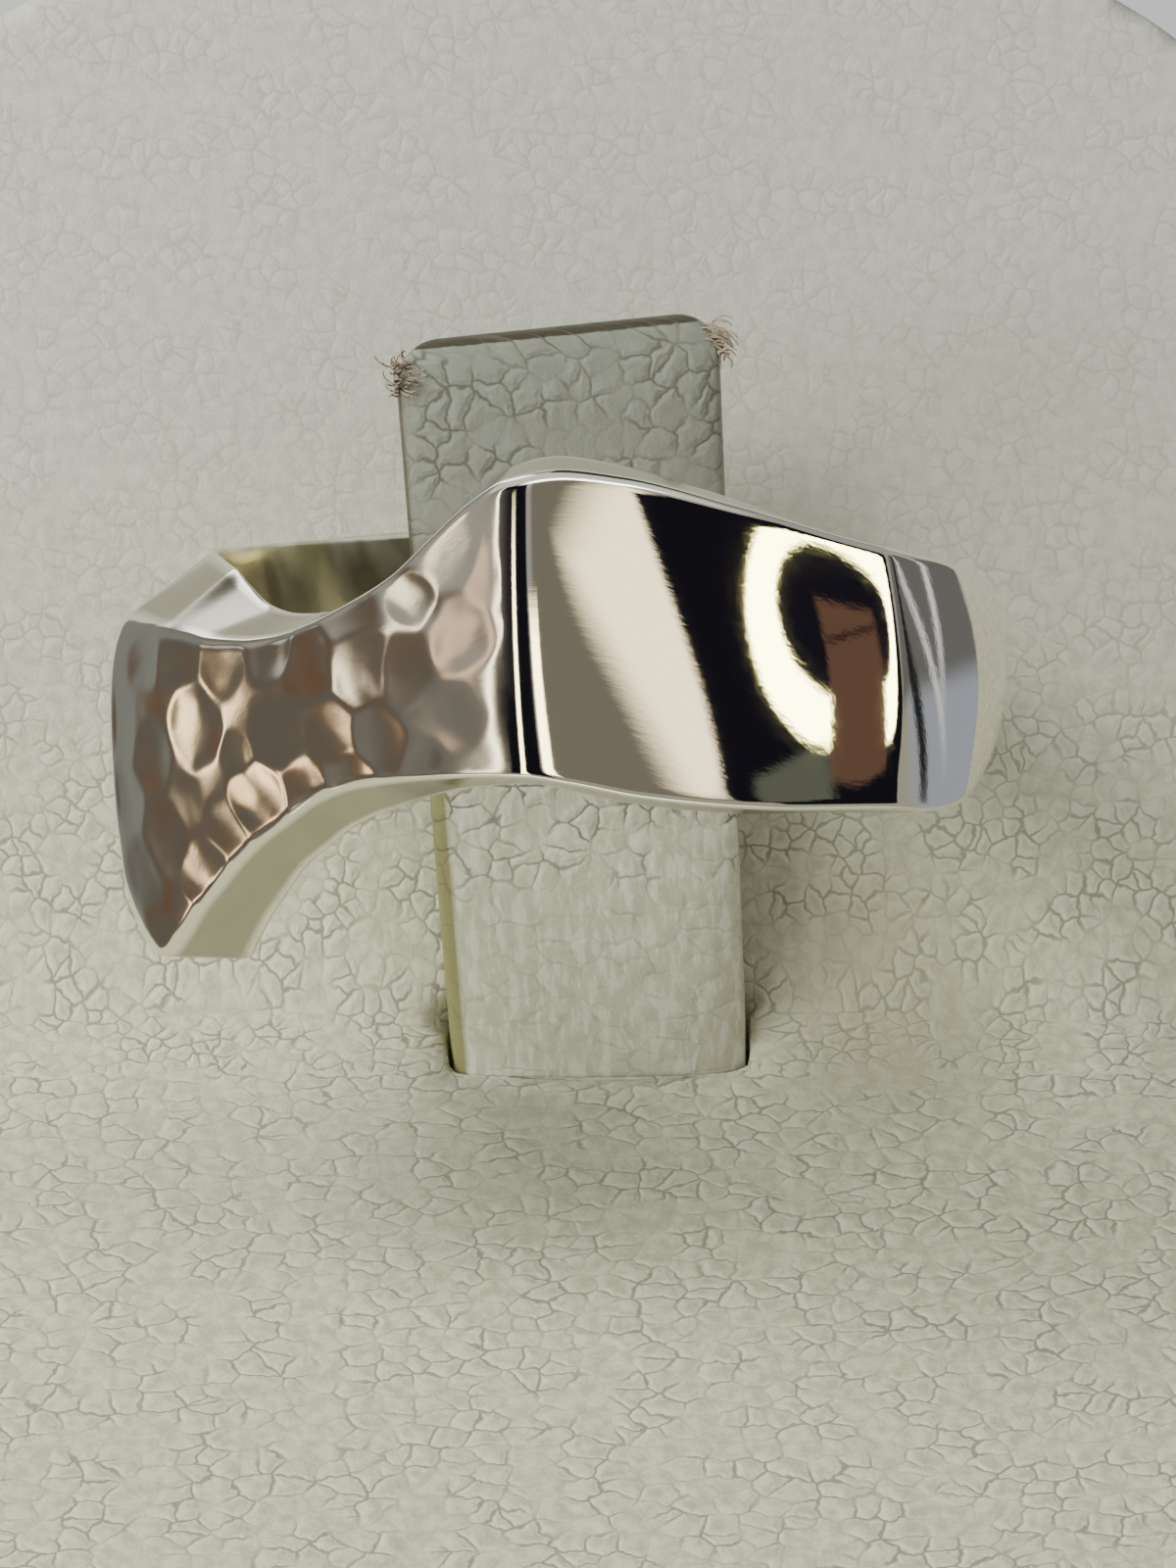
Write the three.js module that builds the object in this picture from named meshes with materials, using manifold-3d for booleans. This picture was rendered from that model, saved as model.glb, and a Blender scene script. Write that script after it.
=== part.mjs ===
// A one-piece silver ring, half hammered and half polished, on the tongue of a small
// leatherette-covered display stand.
// Millimetres, +Z up. The ring's front faces -Y, and the origin is the middle of the base.

import * as THREE from 'three';
import { mergeVertices } from 'three/addons/utils/BufferGeometryUtils.js';
import Module from 'manifold-3d';

const wasm = await Module();
wasm.setup();

const DEGREE = Math.PI / 180;
const FULL_TURN = 360;

// ---------------------------------------------------------------------------
// Driving dimensions
// ---------------------------------------------------------------------------

// A round edge or corner is cut in flats that stay this close to it.
const ARC_ERROR = 0.01;

// Air left between two pieces that touch on the real thing.
const FIT_GAP = 0.3;

// The ring has its own frame: its axis is Z, height 0 is the middle of the shank, and angle 0
// is the front, with + to the right.
const BORE_RADIUS = 8.65;
const SHANK_REACH = 10.05;
const BORE_BEVEL = 0.15;
const EDGE_BEVEL = 0.2;

// Each face bulges this much from its upper and lower edges to its middle.
const FACE_CROWN = 0.22;

// Beside the lobe's ridge the face also rolls over towards its edges.
const LOBE_ROLL = { angle: -82, spread: 14, depth: 0.4, power: 6 };

// Ridges between the filed faces, from the lobe round to the right. Reach is measured from the
// axis, softness is how far the ridge is worn, and bow is the radius of the face that follows,
// which is cut in so many steps.
const RIDGES = [
  { angle: -79, reach: 11.7, softness: 0.05, bow: 17, steps: 46 },
  { angle: -7, reach: 10.8, softness: 0.045, bow: 17, steps: 20 },
  { angle: 46, reach: 10.8, softness: 0.03, bow: 14, steps: 14 },
  { angle: 88, reach: 11.05, softness: 0.06, bow: 14, steps: 14 },
  { angle: 140, reach: SHANK_REACH, softness: 0.25, bow: SHANK_REACH, steps: 18 },
  { angle: 220, reach: SHANK_REACH, softness: 0.25, bow: 18, steps: 20 },
];

// Upper and lower edges of the outer face, and how much further each side wall has spread by
// the time it reaches the bore.
const EDGES = [
  { angle: -180, top: 1.95, bottom: -1.85, topSpread: 0.0, bottomSpread: 0.0 },
  { angle: -150, top: 2.2, bottom: -1.85, topSpread: 0.0, bottomSpread: 0.0 },
  { angle: -125, top: 2.3, bottom: -2.1, topSpread: 0.2, bottomSpread: 0.1 },
  { angle: -102, top: 2.0, bottom: -3.1, topSpread: 0.8, bottomSpread: 0.3 },
  { angle: -90, top: 1.75, bottom: -4.6, topSpread: 1.25, bottomSpread: 0.4 },
  { angle: -81, top: 1.65, bottom: -5.9, topSpread: 1.4, bottomSpread: 0.4 },
  { angle: -75, top: 1.57, bottom: -6.25, topSpread: 1.45, bottomSpread: 0.4 },
  { angle: -68, top: 1.5, bottom: -5.75, topSpread: 1.4, bottomSpread: 0.6 },
  { angle: -62, top: 1.45, bottom: -5.05, topSpread: 1.1, bottomSpread: 0.75 },
  { angle: -56, top: 1.42, bottom: -4.2, topSpread: 0.75, bottomSpread: 0.8 },
  { angle: -50, top: 1.46, bottom: -3.4, topSpread: 0.55, bottomSpread: 0.85 },
  { angle: -44, top: 1.6, bottom: -2.75, topSpread: 0.42, bottomSpread: 0.95 },
  { angle: -38, top: 1.92, bottom: -2.15, topSpread: 0.28, bottomSpread: 1.0 },
  { angle: -31, top: 2.45, bottom: -1.78, topSpread: 0.14, bottomSpread: 0.95 },
  { angle: -24, top: 3.1, bottom: -1.66, topSpread: 0.08, bottomSpread: 0.7 },
  { angle: -18, top: 3.95, bottom: -1.6, topSpread: 0.08, bottomSpread: 0.56 },
  { angle: -12, top: 4.8, bottom: -1.58, topSpread: 0.12, bottomSpread: 0.5 },
  { angle: -7, top: 5.3, bottom: -1.62, topSpread: 0.2, bottomSpread: 0.46 },
  { angle: -1, top: 5.45, bottom: -1.85, topSpread: 0.22, bottomSpread: 0.44 },
  { angle: 8, top: 5.18, bottom: -2.3, topSpread: 0.24, bottomSpread: 0.38 },
  { angle: 24, top: 4.25, bottom: -2.85, topSpread: 0.28, bottomSpread: 0.3 },
  { angle: 45, top: 2.95, bottom: -3.35, topSpread: 0.32, bottomSpread: 0.2 },
  { angle: 55, top: 2.5, bottom: -3.68, topSpread: 0.3, bottomSpread: 0.15 },
  { angle: 64, top: 2.15, bottom: -3.8, topSpread: 0.25, bottomSpread: 0.15 },
  { angle: 76, top: 1.6, bottom: -3.3, topSpread: 0.15, bottomSpread: 0.1 },
  { angle: 90, top: 1.2, bottom: -2.55, topSpread: 0.1, bottomSpread: 0.05 },
  { angle: 120, top: 1.4, bottom: -2.0, topSpread: 0.0, bottomSpread: 0.0 },
  { angle: 150, top: 1.7, bottom: -1.85, topSpread: 0.0, bottomSpread: 0.0 },
];

// Hammer marks, each a shallow round dish, from the lobe to the polished face.
const DENTS = [
  { angle: -77.0, height: -0.9, radius: 1.1, depth: 0.09 },
  { angle: -75.5, height: -2.7, radius: 1.0, depth: 0.08 },
  { angle: -73.0, height: -4.6, radius: 1.0, depth: 0.09 },
  { angle: -71.5, height: -6.1, radius: 0.7, depth: 0.06 },
  { angle: -70.5, height: 0.9, radius: 0.75, depth: 0.1 },
  { angle: -68.0, height: -1.6, radius: 1.0, depth: 0.09 },
  { angle: -66.5, height: -3.5, radius: 1.0, depth: 0.09 },
  { angle: -62.0, height: 0.9, radius: 0.85, depth: 0.09 },
  { angle: -60.5, height: -2.2, radius: 0.75, depth: 0.07 },
  { angle: -59.0, height: -4.4, radius: 1.05, depth: 0.15 },
  { angle: -58.0, height: -0.6, radius: 1.05, depth: 0.15 },
  { angle: -53.0, height: 0.9, radius: 0.8, depth: 0.08 },
  { angle: -53.5, height: -3.1, radius: 0.75, depth: 0.07 },
  { angle: -49.0, height: -0.3, radius: 0.8, depth: 0.09 },
  { angle: -47.5, height: -2.3, radius: 1.0, depth: 0.15 },
  { angle: -44.0, height: 1.2, radius: 0.85, depth: 0.11 },
  { angle: -42.0, height: -0.8, radius: 0.85, depth: 0.09 },
  { angle: -40.0, height: -2.3, radius: 0.75, depth: 0.08 },
  { angle: -36.5, height: 1.1, radius: 0.85, depth: 0.08 },
  { angle: -35.0, height: -0.6, radius: 0.8, depth: 0.08 },
  { angle: -31.5, height: -1.6, radius: 0.7, depth: 0.06 },
  { angle: -30.0, height: 2.3, radius: 0.8, depth: 0.07 },
  { angle: -28.5, height: 1.0, radius: 0.9, depth: 0.09 },
  { angle: -26.5, height: -0.7, radius: 0.85, depth: 0.1 },
  { angle: -21.5, height: 0.9, radius: 0.75, depth: 0.07 },
  { angle: -20.5, height: 2.6, radius: 0.8, depth: 0.11 },
  { angle: -21.0, height: -1.2, radius: 0.65, depth: 0.07 },
  { angle: -16.5, height: -0.4, radius: 0.85, depth: 0.1 },
  { angle: -15.0, height: 3.6, radius: 0.85, depth: 0.08 },
  { angle: -13.5, height: 1.9, radius: 0.85, depth: 0.13 },
  { angle: -12.0, height: -1.2, radius: 0.7, depth: 0.07 },
];

// Points across each part of the ring's section.
const FACE_ROWS = 14;
const BORE_ROWS = 3;

// The stand's side outline: a foot, a hollow corner called the valley, and a leaning panel.
const STAND_WIDTH = 44;
const LEAN = 28;
const FOOT_LENGTH = 23.4;
const FOOT_HEIGHT = 7;
const VALLEY_RADIUS = 9;
const PANEL_LENGTH = 30.3;
const PANEL_THICKNESS = 6;
const PANEL_CORNER_RADIUS = 15;
const PLAN_CORNER_RADIUS = 3;
const SOFT_EDGE_RADIUS = 1.2;

// The ring's middle lies this far up the panel from the valley, and the ring and the tongue
// are turned a little across the panel.
const RING_ALONG_PANEL = 12.7;
const TONGUE_TURN = 3.2;

// The tongue springs out of its slot and leans forward past the shank. Back is how far its
// rear face lies behind the ring's axis at each height.
const TONGUE_THICKNESS = 1.0;
const TONGUE_WIDTH_LOW = 7.8;
const TONGUE_WIDTH_HIGH = 8.3;
const TONGUE_END_RADIUS = 1.0;
const TONGUE_EDGE_RADIUS = 0.35;
const TONGUE_ROWS = 18;
const TONGUE_END_ROWS = 5;
const SLOT_CLEARANCE = 0.35;
const SLOT_ROOF_HEIGHT = -9;
const TONGUE_PATH = [
  { height: -16.8, back: 11.4 },
  { height: -12.6, back: 10.25 },
  { height: -8.0, back: 8.9 },
  { height: -2.0, back: 7.3 },
  { height: 3.0, back: 6.2 },
  { height: 7.6, back: 5.3 },
];

// ---------------------------------------------------------------------------
// Curves and meshes
// ---------------------------------------------------------------------------

// A smooth curve through the rows of a table, which never overshoots a row.
function curveThrough(rows, input, output) {
  const at = rows.map((row) => row[input]);
  const value = rows.map((row) => row[output]);
  const rise = (k) => (value[k + 1] - value[k]) / (at[k + 1] - at[k]);
  const slope = value.map((_, k) => {
    if (k === 0 || k === value.length - 1) return 0;
    const before = rise(k - 1);
    const after = rise(k);
    return before * after > 0 ? (2 * before * after) / (before + after) : 0;
  });
  return (x) => {
    let k = 0;
    while (k < at.length - 2 && x >= at[k + 1]) k += 1;
    const span = at[k + 1] - at[k];
    const t = THREE.MathUtils.clamp((x - at[k]) / span, 0, 1);
    const s = 1 - t;
    const start = s * s * ((1 + 2 * t) * value[k] + t * span * slope[k]);
    const end = t * t * ((3 - 2 * t) * value[k + 1] - s * span * slope[k + 1]);
    return start + end;
  };
}

// The same for a table of angles, carried once round so that its ends meet.
function curveRound(rows, output) {
  const first = rows[0].angle;
  const before = { ...rows[rows.length - 1], angle: rows[rows.length - 1].angle - FULL_TURN };
  const after = rows.slice(0, 2).map((row) => ({ ...row, angle: row.angle + FULL_TURN }));
  const curve = curveThrough([before, ...rows, ...after], 'angle', output);
  return (angle) => curve(first + THREE.MathUtils.euclideanModulo(angle - first, FULL_TURN));
}

// Joins loops of equal length into one skin. A ring of loops meets itself, and otherwise the
// first and last loops are capped.
function loftGeometry(loops, isRing) {
  const count = loops[0].length;
  const positions = loops.flat().flatMap((point) => [point.x, point.y, point.z]);
  const index = [];
  const last = isRing ? loops.length : loops.length - 1;
  for (let i = 0; i < last; i += 1) {
    const here = i * count;
    const next = ((i + 1) % loops.length) * count;
    for (let j = 0; j < count; j += 1) {
      const k = (j + 1) % count;
      index.push(here + j, next + j, next + k);
      index.push(here + j, next + k, here + k);
    }
  }
  if (!isRing) {
    const end = last * count;
    for (let j = 1; j < count - 1; j += 1) {
      index.push(0, j, j + 1);
      index.push(end, end + j + 1, end + j);
    }
  }
  const geometry = new THREE.BufferGeometry();
  geometry.setAttribute('position', new THREE.Float32BufferAttribute(positions, 3));
  geometry.setIndex(index);
  return geometry;
}

// A closed outline from corners, each rounded to its own radius, inside or outside.
function roundedOutline(corners) {
  const points = [];
  corners.forEach((corner, k) => {
    const here = new THREE.Vector2(corner.x, corner.y);
    const before = corners[(k + corners.length - 1) % corners.length];
    const after = corners[(k + 1) % corners.length];
    const toBefore = new THREE.Vector2(before.x, before.y).sub(here).normalize();
    const toAfter = new THREE.Vector2(after.x, after.y).sub(here).normalize();
    const halfAngle = Math.acos(THREE.MathUtils.clamp(toBefore.dot(toAfter), -1, 1)) / 2;
    const centre = toBefore.clone().add(toAfter).normalize();
    centre.multiplyScalar(corner.radius / Math.sin(halfAngle)).add(here);
    const tangent = corner.radius / Math.tan(halfAngle);
    const start = toBefore.clone().multiplyScalar(tangent).add(here).sub(centre);
    const end = toAfter.clone().multiplyScalar(tangent).add(here).sub(centre);
    const sweep = Math.atan2(start.cross(end), start.dot(end));
    const flat = 2 * Math.acos(1 - ARC_ERROR / corner.radius);
    const steps = Math.ceil(Math.abs(sweep) / flat);
    for (let step = 0; step <= steps; step += 1) {
      points.push(start.clone().rotateAround(new THREE.Vector2(), (sweep * step) / steps).add(centre));
    }
  });
  return new THREE.Shape(points);
}

// A straight prism from an outline. Across and up are the outline's axes, and the prism runs
// both ways from the outline's plane by half its length.
function prismGeometry(outline, length, across, up, centre) {
  const geometry = new THREE.ExtrudeGeometry(outline, { depth: length, bevelEnabled: false });
  geometry.translate(0, 0, -length / 2);
  const along = new THREE.Vector3().crossVectors(across, up);
  const frame = new THREE.Matrix4().makeBasis(across, up, along).setPosition(centre);
  return geometry.applyMatrix4(frame);
}

function toManifold(geometry) {
  const bare = geometry.clone();
  bare.deleteAttribute('normal');
  bare.deleteAttribute('uv');
  const merged = mergeVertices(bare);
  return new wasm.Manifold(new wasm.Mesh({
    numProp: 3,
    vertProperties: new Float32Array(merged.attributes.position.array),
    triVerts: new Uint32Array(merged.index.array),
  }));
}

function fromManifold(solid) {
  const mesh = solid.getMesh();
  const geometry = new THREE.BufferGeometry();
  geometry.setAttribute('position', new THREE.BufferAttribute(mesh.vertProperties, 3));
  geometry.setIndex(new THREE.BufferAttribute(mesh.triVerts, 1));
  return geometry;
}

// ---------------------------------------------------------------------------
// Ring
// ---------------------------------------------------------------------------

// The disc whose rim passes through two neighbouring ridges is one filed face.
function filedFace(ridge, nextRidge) {
  const half = ((nextRidge.angle - ridge.angle) / 2) * DEGREE;
  const start = new THREE.Vector2(ridge.reach, 0).rotateAround(new THREE.Vector2(), -half);
  const end = new THREE.Vector2(nextRidge.reach, 0).rotateAround(new THREE.Vector2(), half);
  const chord = end.clone().sub(start);
  const depth = Math.sqrt(ridge.bow ** 2 - chord.lengthSq() / 4);
  const inward = new THREE.Vector2(-chord.y, chord.x).normalize();
  const centre = start.clone().add(end).multiplyScalar(0.5).add(inward.multiplyScalar(depth));
  return { centre, bow: ridge.bow, middle: (ridge.angle + nextRidge.angle) / 2 };
}

const FACES = RIDGES.map((ridge, k) => {
  const wrapped = { ...RIDGES[0], angle: RIDGES[0].angle + FULL_TURN };
  return filedFace(ridge, RIDGES[k + 1] ?? wrapped);
});

const softnessAt = curveRound(
  [...RIDGES].map((ridge) => ({ ...ridge, angle: ridge.angle > 180 ? ridge.angle - FULL_TURN : ridge.angle }))
    .sort((a, b) => a.angle - b.angle),
  'softness',
);

// How far the line at an angle runs before it leaves a face's disc.
function faceReach(face, angle) {
  const turn = (angle - face.middle) * DEGREE;
  if (Math.cos(turn) < 0) return Infinity;
  const along = face.centre.x * Math.cos(turn) + face.centre.y * Math.sin(turn);
  const aside = face.centre.y * Math.cos(turn) - face.centre.x * Math.sin(turn);
  return along + Math.sqrt(face.bow ** 2 - aside ** 2);
}

// The nearest face rules, and two faces blend over the softness of their ridge.
function bandReach(angle) {
  const softness = softnessAt(angle);
  const sum = FACES.reduce(
    (total, face) => total + Math.exp((SHANK_REACH - faceReach(face, angle)) / softness),
    0,
  );
  return SHANK_REACH - softness * Math.log(sum);
}

function dentDepth(angle, height, reach) {
  return DENTS.reduce((deepest, dent) => {
    const across = (angle - dent.angle) * DEGREE * reach;
    const nearness = 1 - (across ** 2 + (height - dent.height) ** 2) / dent.radius ** 2;
    return Math.max(deepest, dent.depth * nearness);
  }, 0);
}

const edgeTop = curveRound(EDGES, 'top');
const edgeBottom = curveRound(EDGES, 'bottom');
const topSpread = curveRound(EDGES, 'topSpread');
const bottomSpread = curveRound(EDGES, 'bottomSpread');

// The outer face at an angle and a share of the way from its lower edge, -1, to its upper, 1.
function faceRadius(angle, share, height) {
  const reach = bandReach(angle);
  const aside = (angle - LOBE_ROLL.angle) / LOBE_ROLL.spread;
  const roll = LOBE_ROLL.depth * Math.exp(-(aside ** 2)) * share ** LOBE_ROLL.power;
  return reach - FACE_CROWN * share ** 2 - roll - dentDepth(angle, height, reach);
}

// One section of the band: outer face upwards, top wall, bore downwards, bottom wall.
function bandSection(angle) {
  const top = edgeTop(angle);
  const bottom = edgeBottom(angle);
  const section = [];
  const add = (radius, height) => section.push(new THREE.Vector3(
    radius * Math.sin(angle * DEGREE),
    -radius * Math.cos(angle * DEGREE),
    height,
  ));
  const wrapped = angle > 180 ? angle - FULL_TURN : angle;
  for (let row = 0; row <= FACE_ROWS; row += 1) {
    const share = (2 * row) / FACE_ROWS - 1;
    const height = THREE.MathUtils.lerp(bottom + EDGE_BEVEL, top - EDGE_BEVEL, row / FACE_ROWS);
    add(faceRadius(wrapped, share, height), height);
  }
  const boreTop = top + topSpread(angle);
  const boreBottom = bottom - bottomSpread(angle);
  add(faceRadius(wrapped, 1, top) - EDGE_BEVEL, top);
  add(BORE_RADIUS + BORE_BEVEL, boreTop);
  for (let row = 0; row <= BORE_ROWS; row += 1) {
    add(BORE_RADIUS, THREE.MathUtils.lerp(boreTop - BORE_BEVEL, boreBottom + BORE_BEVEL, row / BORE_ROWS));
  }
  add(BORE_RADIUS + BORE_BEVEL, boreBottom);
  add(faceRadius(wrapped, -1, bottom) - EDGE_BEVEL, bottom);
  return section;
}

function ringGeometry() {
  const sections = RIDGES.flatMap((ridge, k) => {
    const nextAngle = RIDGES[k + 1]?.angle ?? RIDGES[0].angle + FULL_TURN;
    return Array.from({ length: ridge.steps }, (_, step) => (
      bandSection(THREE.MathUtils.lerp(ridge.angle, nextAngle, step / ridge.steps))
    ));
  });
  return loftGeometry(sections, true);
}

// ---------------------------------------------------------------------------
// Tongue
// ---------------------------------------------------------------------------

const tongueBack = curveThrough(TONGUE_PATH, 'height', 'back');
const TONGUE_FOOT_HEIGHT = TONGUE_PATH[0].height;
const TONGUE_TOP_HEIGHT = TONGUE_PATH[TONGUE_PATH.length - 1].height;

// One flat section with rounded edges, seen from above, widened by the clearance on all sides.
function tongueSection(height, halfWidth, clearance) {
  const back = tongueBack(height) + clearance;
  const front = back - TONGUE_THICKNESS - 2 * clearance;
  const side = halfWidth + clearance;
  const corner = (x, y) => ({ x, y, radius: TONGUE_EDGE_RADIUS + clearance / 2 });
  const outline = roundedOutline([
    corner(-side, front),
    corner(-side, back),
    corner(side, back),
    corner(side, front),
  ]);
  return outline.getPoints().map((point) => new THREE.Vector3(point.x, point.y, height));
}

function tongueHalfWidth(height) {
  const share = (height - TONGUE_FOOT_HEIGHT) / (TONGUE_TOP_HEIGHT - TONGUE_FOOT_HEIGHT);
  return THREE.MathUtils.lerp(TONGUE_WIDTH_LOW, TONGUE_WIDTH_HIGH, share) / 2;
}

function tongueGeometry() {
  const straightTop = TONGUE_TOP_HEIGHT - TONGUE_END_RADIUS;
  const loops = [];
  for (let row = 0; row < TONGUE_ROWS; row += 1) {
    const height = THREE.MathUtils.lerp(TONGUE_FOOT_HEIGHT, straightTop, row / TONGUE_ROWS);
    loops.push(tongueSection(height, tongueHalfWidth(height), 0));
  }
  for (let row = 0; row <= TONGUE_END_ROWS; row += 1) {
    const turn = (Math.PI / 2) * (row / TONGUE_END_ROWS);
    const height = straightTop + TONGUE_END_RADIUS * Math.sin(turn);
    const taper = TONGUE_END_RADIUS * (1 - Math.cos(turn));
    loops.push(tongueSection(height, tongueHalfWidth(height) - taper, 0));
  }
  return loftGeometry(loops, false);
}

// The room that the stand leaves for the tongue's lower end.
function slotGeometry() {
  const floor = TONGUE_FOOT_HEIGHT - SLOT_CLEARANCE;
  const loops = [];
  for (let row = 0; row <= TONGUE_ROWS; row += 1) {
    const height = THREE.MathUtils.lerp(floor, SLOT_ROOF_HEIGHT, row / TONGUE_ROWS);
    loops.push(tongueSection(height, tongueHalfWidth(height), SLOT_CLEARANCE));
  }
  return loftGeometry(loops, false);
}

// ---------------------------------------------------------------------------
// Stand
// ---------------------------------------------------------------------------

const ACROSS = new THREE.Vector3(1, 0, 0);
const BACKWARD = new THREE.Vector3(0, 1, 0);
const UPWARD = new THREE.Vector3(0, 0, 1);

// Up the panel, and straight out of its front face.
const ALONG_PANEL = new THREE.Vector3(0, Math.sin(LEAN * DEGREE), Math.cos(LEAN * DEGREE));
const OUT_OF_PANEL = new THREE.Vector3(0, -Math.cos(LEAN * DEGREE), Math.sin(LEAN * DEGREE));

// The base is centred on the origin, and the valley's sharp corner follows from that.
const VALLEY_TO_BACK = PANEL_LENGTH * ALONG_PANEL.y - PANEL_THICKNESS * OUT_OF_PANEL.y;
const STAND_DEPTH = FOOT_LENGTH + VALLEY_TO_BACK;
const VALLEY = new THREE.Vector3(0, FOOT_LENGTH - STAND_DEPTH / 2, FOOT_HEIGHT);
const RING_CENTRE = VALLEY.clone()
  .addScaledVector(ALONG_PANEL, RING_ALONG_PANEL)
  .addScaledVector(OUT_OF_PANEL, SHANK_REACH + FIT_GAP);

function sideOutline() {
  const panelTop = VALLEY.clone().addScaledVector(ALONG_PANEL, PANEL_LENGTH);
  const topBack = panelTop.clone().addScaledVector(OUT_OF_PANEL, -PANEL_THICKNESS);
  const front = -STAND_DEPTH / 2;
  const back = STAND_DEPTH / 2;
  return roundedOutline([
    { x: front, y: 0, radius: SOFT_EDGE_RADIUS },
    { x: back, y: 0, radius: SOFT_EDGE_RADIUS },
    { x: back, y: topBack.z, radius: SOFT_EDGE_RADIUS },
    { x: panelTop.y, y: panelTop.z, radius: SOFT_EDGE_RADIUS },
    { x: VALLEY.y, y: VALLEY.z, radius: VALLEY_RADIUS },
    { x: front, y: FOOT_HEIGHT, radius: SOFT_EDGE_RADIUS },
  ]);
}

// A rectangle across the stand, from a lower to an upper edge.
function crossOutline(low, high, lowRadius, highRadius) {
  const half = STAND_WIDTH / 2;
  return roundedOutline([
    { x: -half, y: low, radius: lowRadius },
    { x: half, y: low, radius: lowRadius },
    { x: half, y: high, radius: highRadius },
    { x: -half, y: high, radius: highRadius },
  ]);
}

function standGeometry(ringFrame) {
  const reachPast = 3 * STAND_DEPTH;
  const side = prismGeometry(sideOutline(), STAND_WIDTH, BACKWARD, UPWARD, new THREE.Vector3());
  const panelFront = prismGeometry(
    crossOutline(-STAND_DEPTH, PANEL_LENGTH, PLAN_CORNER_RADIUS, PANEL_CORNER_RADIUS),
    reachPast, ACROSS, ALONG_PANEL, VALLEY,
  );
  const plan = prismGeometry(
    crossOutline(-STAND_DEPTH / 2, STAND_DEPTH / 2, PLAN_CORNER_RADIUS, PLAN_CORNER_RADIUS),
    reachPast, ACROSS, BACKWARD, new THREE.Vector3(),
  );
  const slot = slotGeometry().applyMatrix4(ringFrame);
  const block = toManifold(side).intersect(toManifold(panelFront)).intersect(toManifold(plan));
  return fromManifold(block.subtract(toManifold(slot)));
}

// ---------------------------------------------------------------------------
// Assembly
// ---------------------------------------------------------------------------

function namedMesh(name, geometry, material) {
  const mesh = new THREE.Mesh(geometry, material);
  mesh.name = name;
  return mesh;
}

const silver = new THREE.MeshStandardMaterial({ color: 0xd9d6d0, roughness: 0.08, metalness: 1 });
const leatherette = new THREE.MeshStandardMaterial({ color: 0xd2cfc3, roughness: 0.6, metalness: 0 });

// Everything that follows the ring leans with the panel and is turned across it.
const leaning = new THREE.Group();
leaning.position.copy(RING_CENTRE);
leaning.rotation.x = -LEAN * DEGREE;

const turned = new THREE.Group();
turned.rotation.y = -TONGUE_TURN * DEGREE;
turned.add(namedMesh('ring', ringGeometry(), silver));
turned.add(namedMesh('tongue', tongueGeometry(), leatherette));
leaning.add(turned);
leaning.updateMatrixWorld(true);

const ringOnStand = new THREE.Group();
ringOnStand.add(namedMesh('stand', standGeometry(turned.matrixWorld), leatherette));
ringOnStand.add(leaning);

export default ringOnStand;
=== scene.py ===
# %% [markdown]
# # A silver ring on its display stand
# The ring is one casting. Its left part was hammered and runs out into a lobe, its front and
# right side were filed flat and mirror polished, and a plain shank closes it behind the finger.
# It hangs over the tongue of a small jeweller's stand that is covered in crackled leatherette.
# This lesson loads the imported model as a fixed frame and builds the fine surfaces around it.

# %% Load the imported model
import math

import bmesh
import bpy
import numpy as np
from mathutils import Matrix, Vector


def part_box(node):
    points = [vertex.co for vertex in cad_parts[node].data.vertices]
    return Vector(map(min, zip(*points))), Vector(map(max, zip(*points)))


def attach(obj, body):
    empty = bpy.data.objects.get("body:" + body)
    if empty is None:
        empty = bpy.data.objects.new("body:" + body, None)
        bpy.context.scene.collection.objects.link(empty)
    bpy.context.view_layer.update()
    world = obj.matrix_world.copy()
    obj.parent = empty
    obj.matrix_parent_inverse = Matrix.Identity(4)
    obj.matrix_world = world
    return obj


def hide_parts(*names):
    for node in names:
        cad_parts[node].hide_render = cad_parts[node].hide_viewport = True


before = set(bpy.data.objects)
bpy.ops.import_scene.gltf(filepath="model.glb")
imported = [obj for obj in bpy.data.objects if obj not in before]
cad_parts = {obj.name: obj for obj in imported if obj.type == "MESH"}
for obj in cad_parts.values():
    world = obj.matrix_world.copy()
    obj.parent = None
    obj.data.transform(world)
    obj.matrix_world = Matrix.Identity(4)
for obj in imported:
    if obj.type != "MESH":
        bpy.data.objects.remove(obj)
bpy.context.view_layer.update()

MM = 0.001
print("nodes in the frame:", sorted(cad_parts))

# %% [markdown]
# ## The ring's own frame
# A ring is easiest to describe about its own axis: height along the axis, an angle round it, and
# a reach outwards. Angle 0 is the front and + runs to the right. The stand's panel leans back,
# the ring leans with it, and both sit slightly turned across the panel. The stand's box gives
# the place of the hollow corner between foot and panel, and the ring is measured from there.

# %% Where the ring sits
LEAN = 28
TONGUE_TURN = 3.2
FOOT_LENGTH = 23.4
FOOT_HEIGHT = 7
RING_ALONG_PANEL = 12.7
BORE_RADIUS = 8.65
SHANK_REACH = 10.05
FIT_GAP = 0.3

stand_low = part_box("stand")[0]
lean = math.radians(LEAN)
along_panel = Vector((0, math.sin(lean), math.cos(lean)))
out_of_panel = Vector((0, -math.cos(lean), math.sin(lean)))
valley = Vector((0, stand_low.y + FOOT_LENGTH * MM, stand_low.z + FOOT_HEIGHT * MM))
ring_centre = valley + RING_ALONG_PANEL * MM * along_panel
ring_centre += (SHANK_REACH + FIT_GAP) * MM * out_of_panel
lean_back = Matrix.Rotation(-lean, 3, "X") @ Matrix.Rotation(-math.radians(TONGUE_TURN), 3, "Y")
TURN = np.array(lean_back)
CENTRE = np.array(ring_centre)


def placed(points):
    """Points of the ring's own frame, in millimetres, as points of the scene."""
    return np.asarray(points) @ TURN.T * MM + CENTRE


print("middle of the ring, mm:", [round(c / MM, 2) for c in ring_centre])

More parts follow.
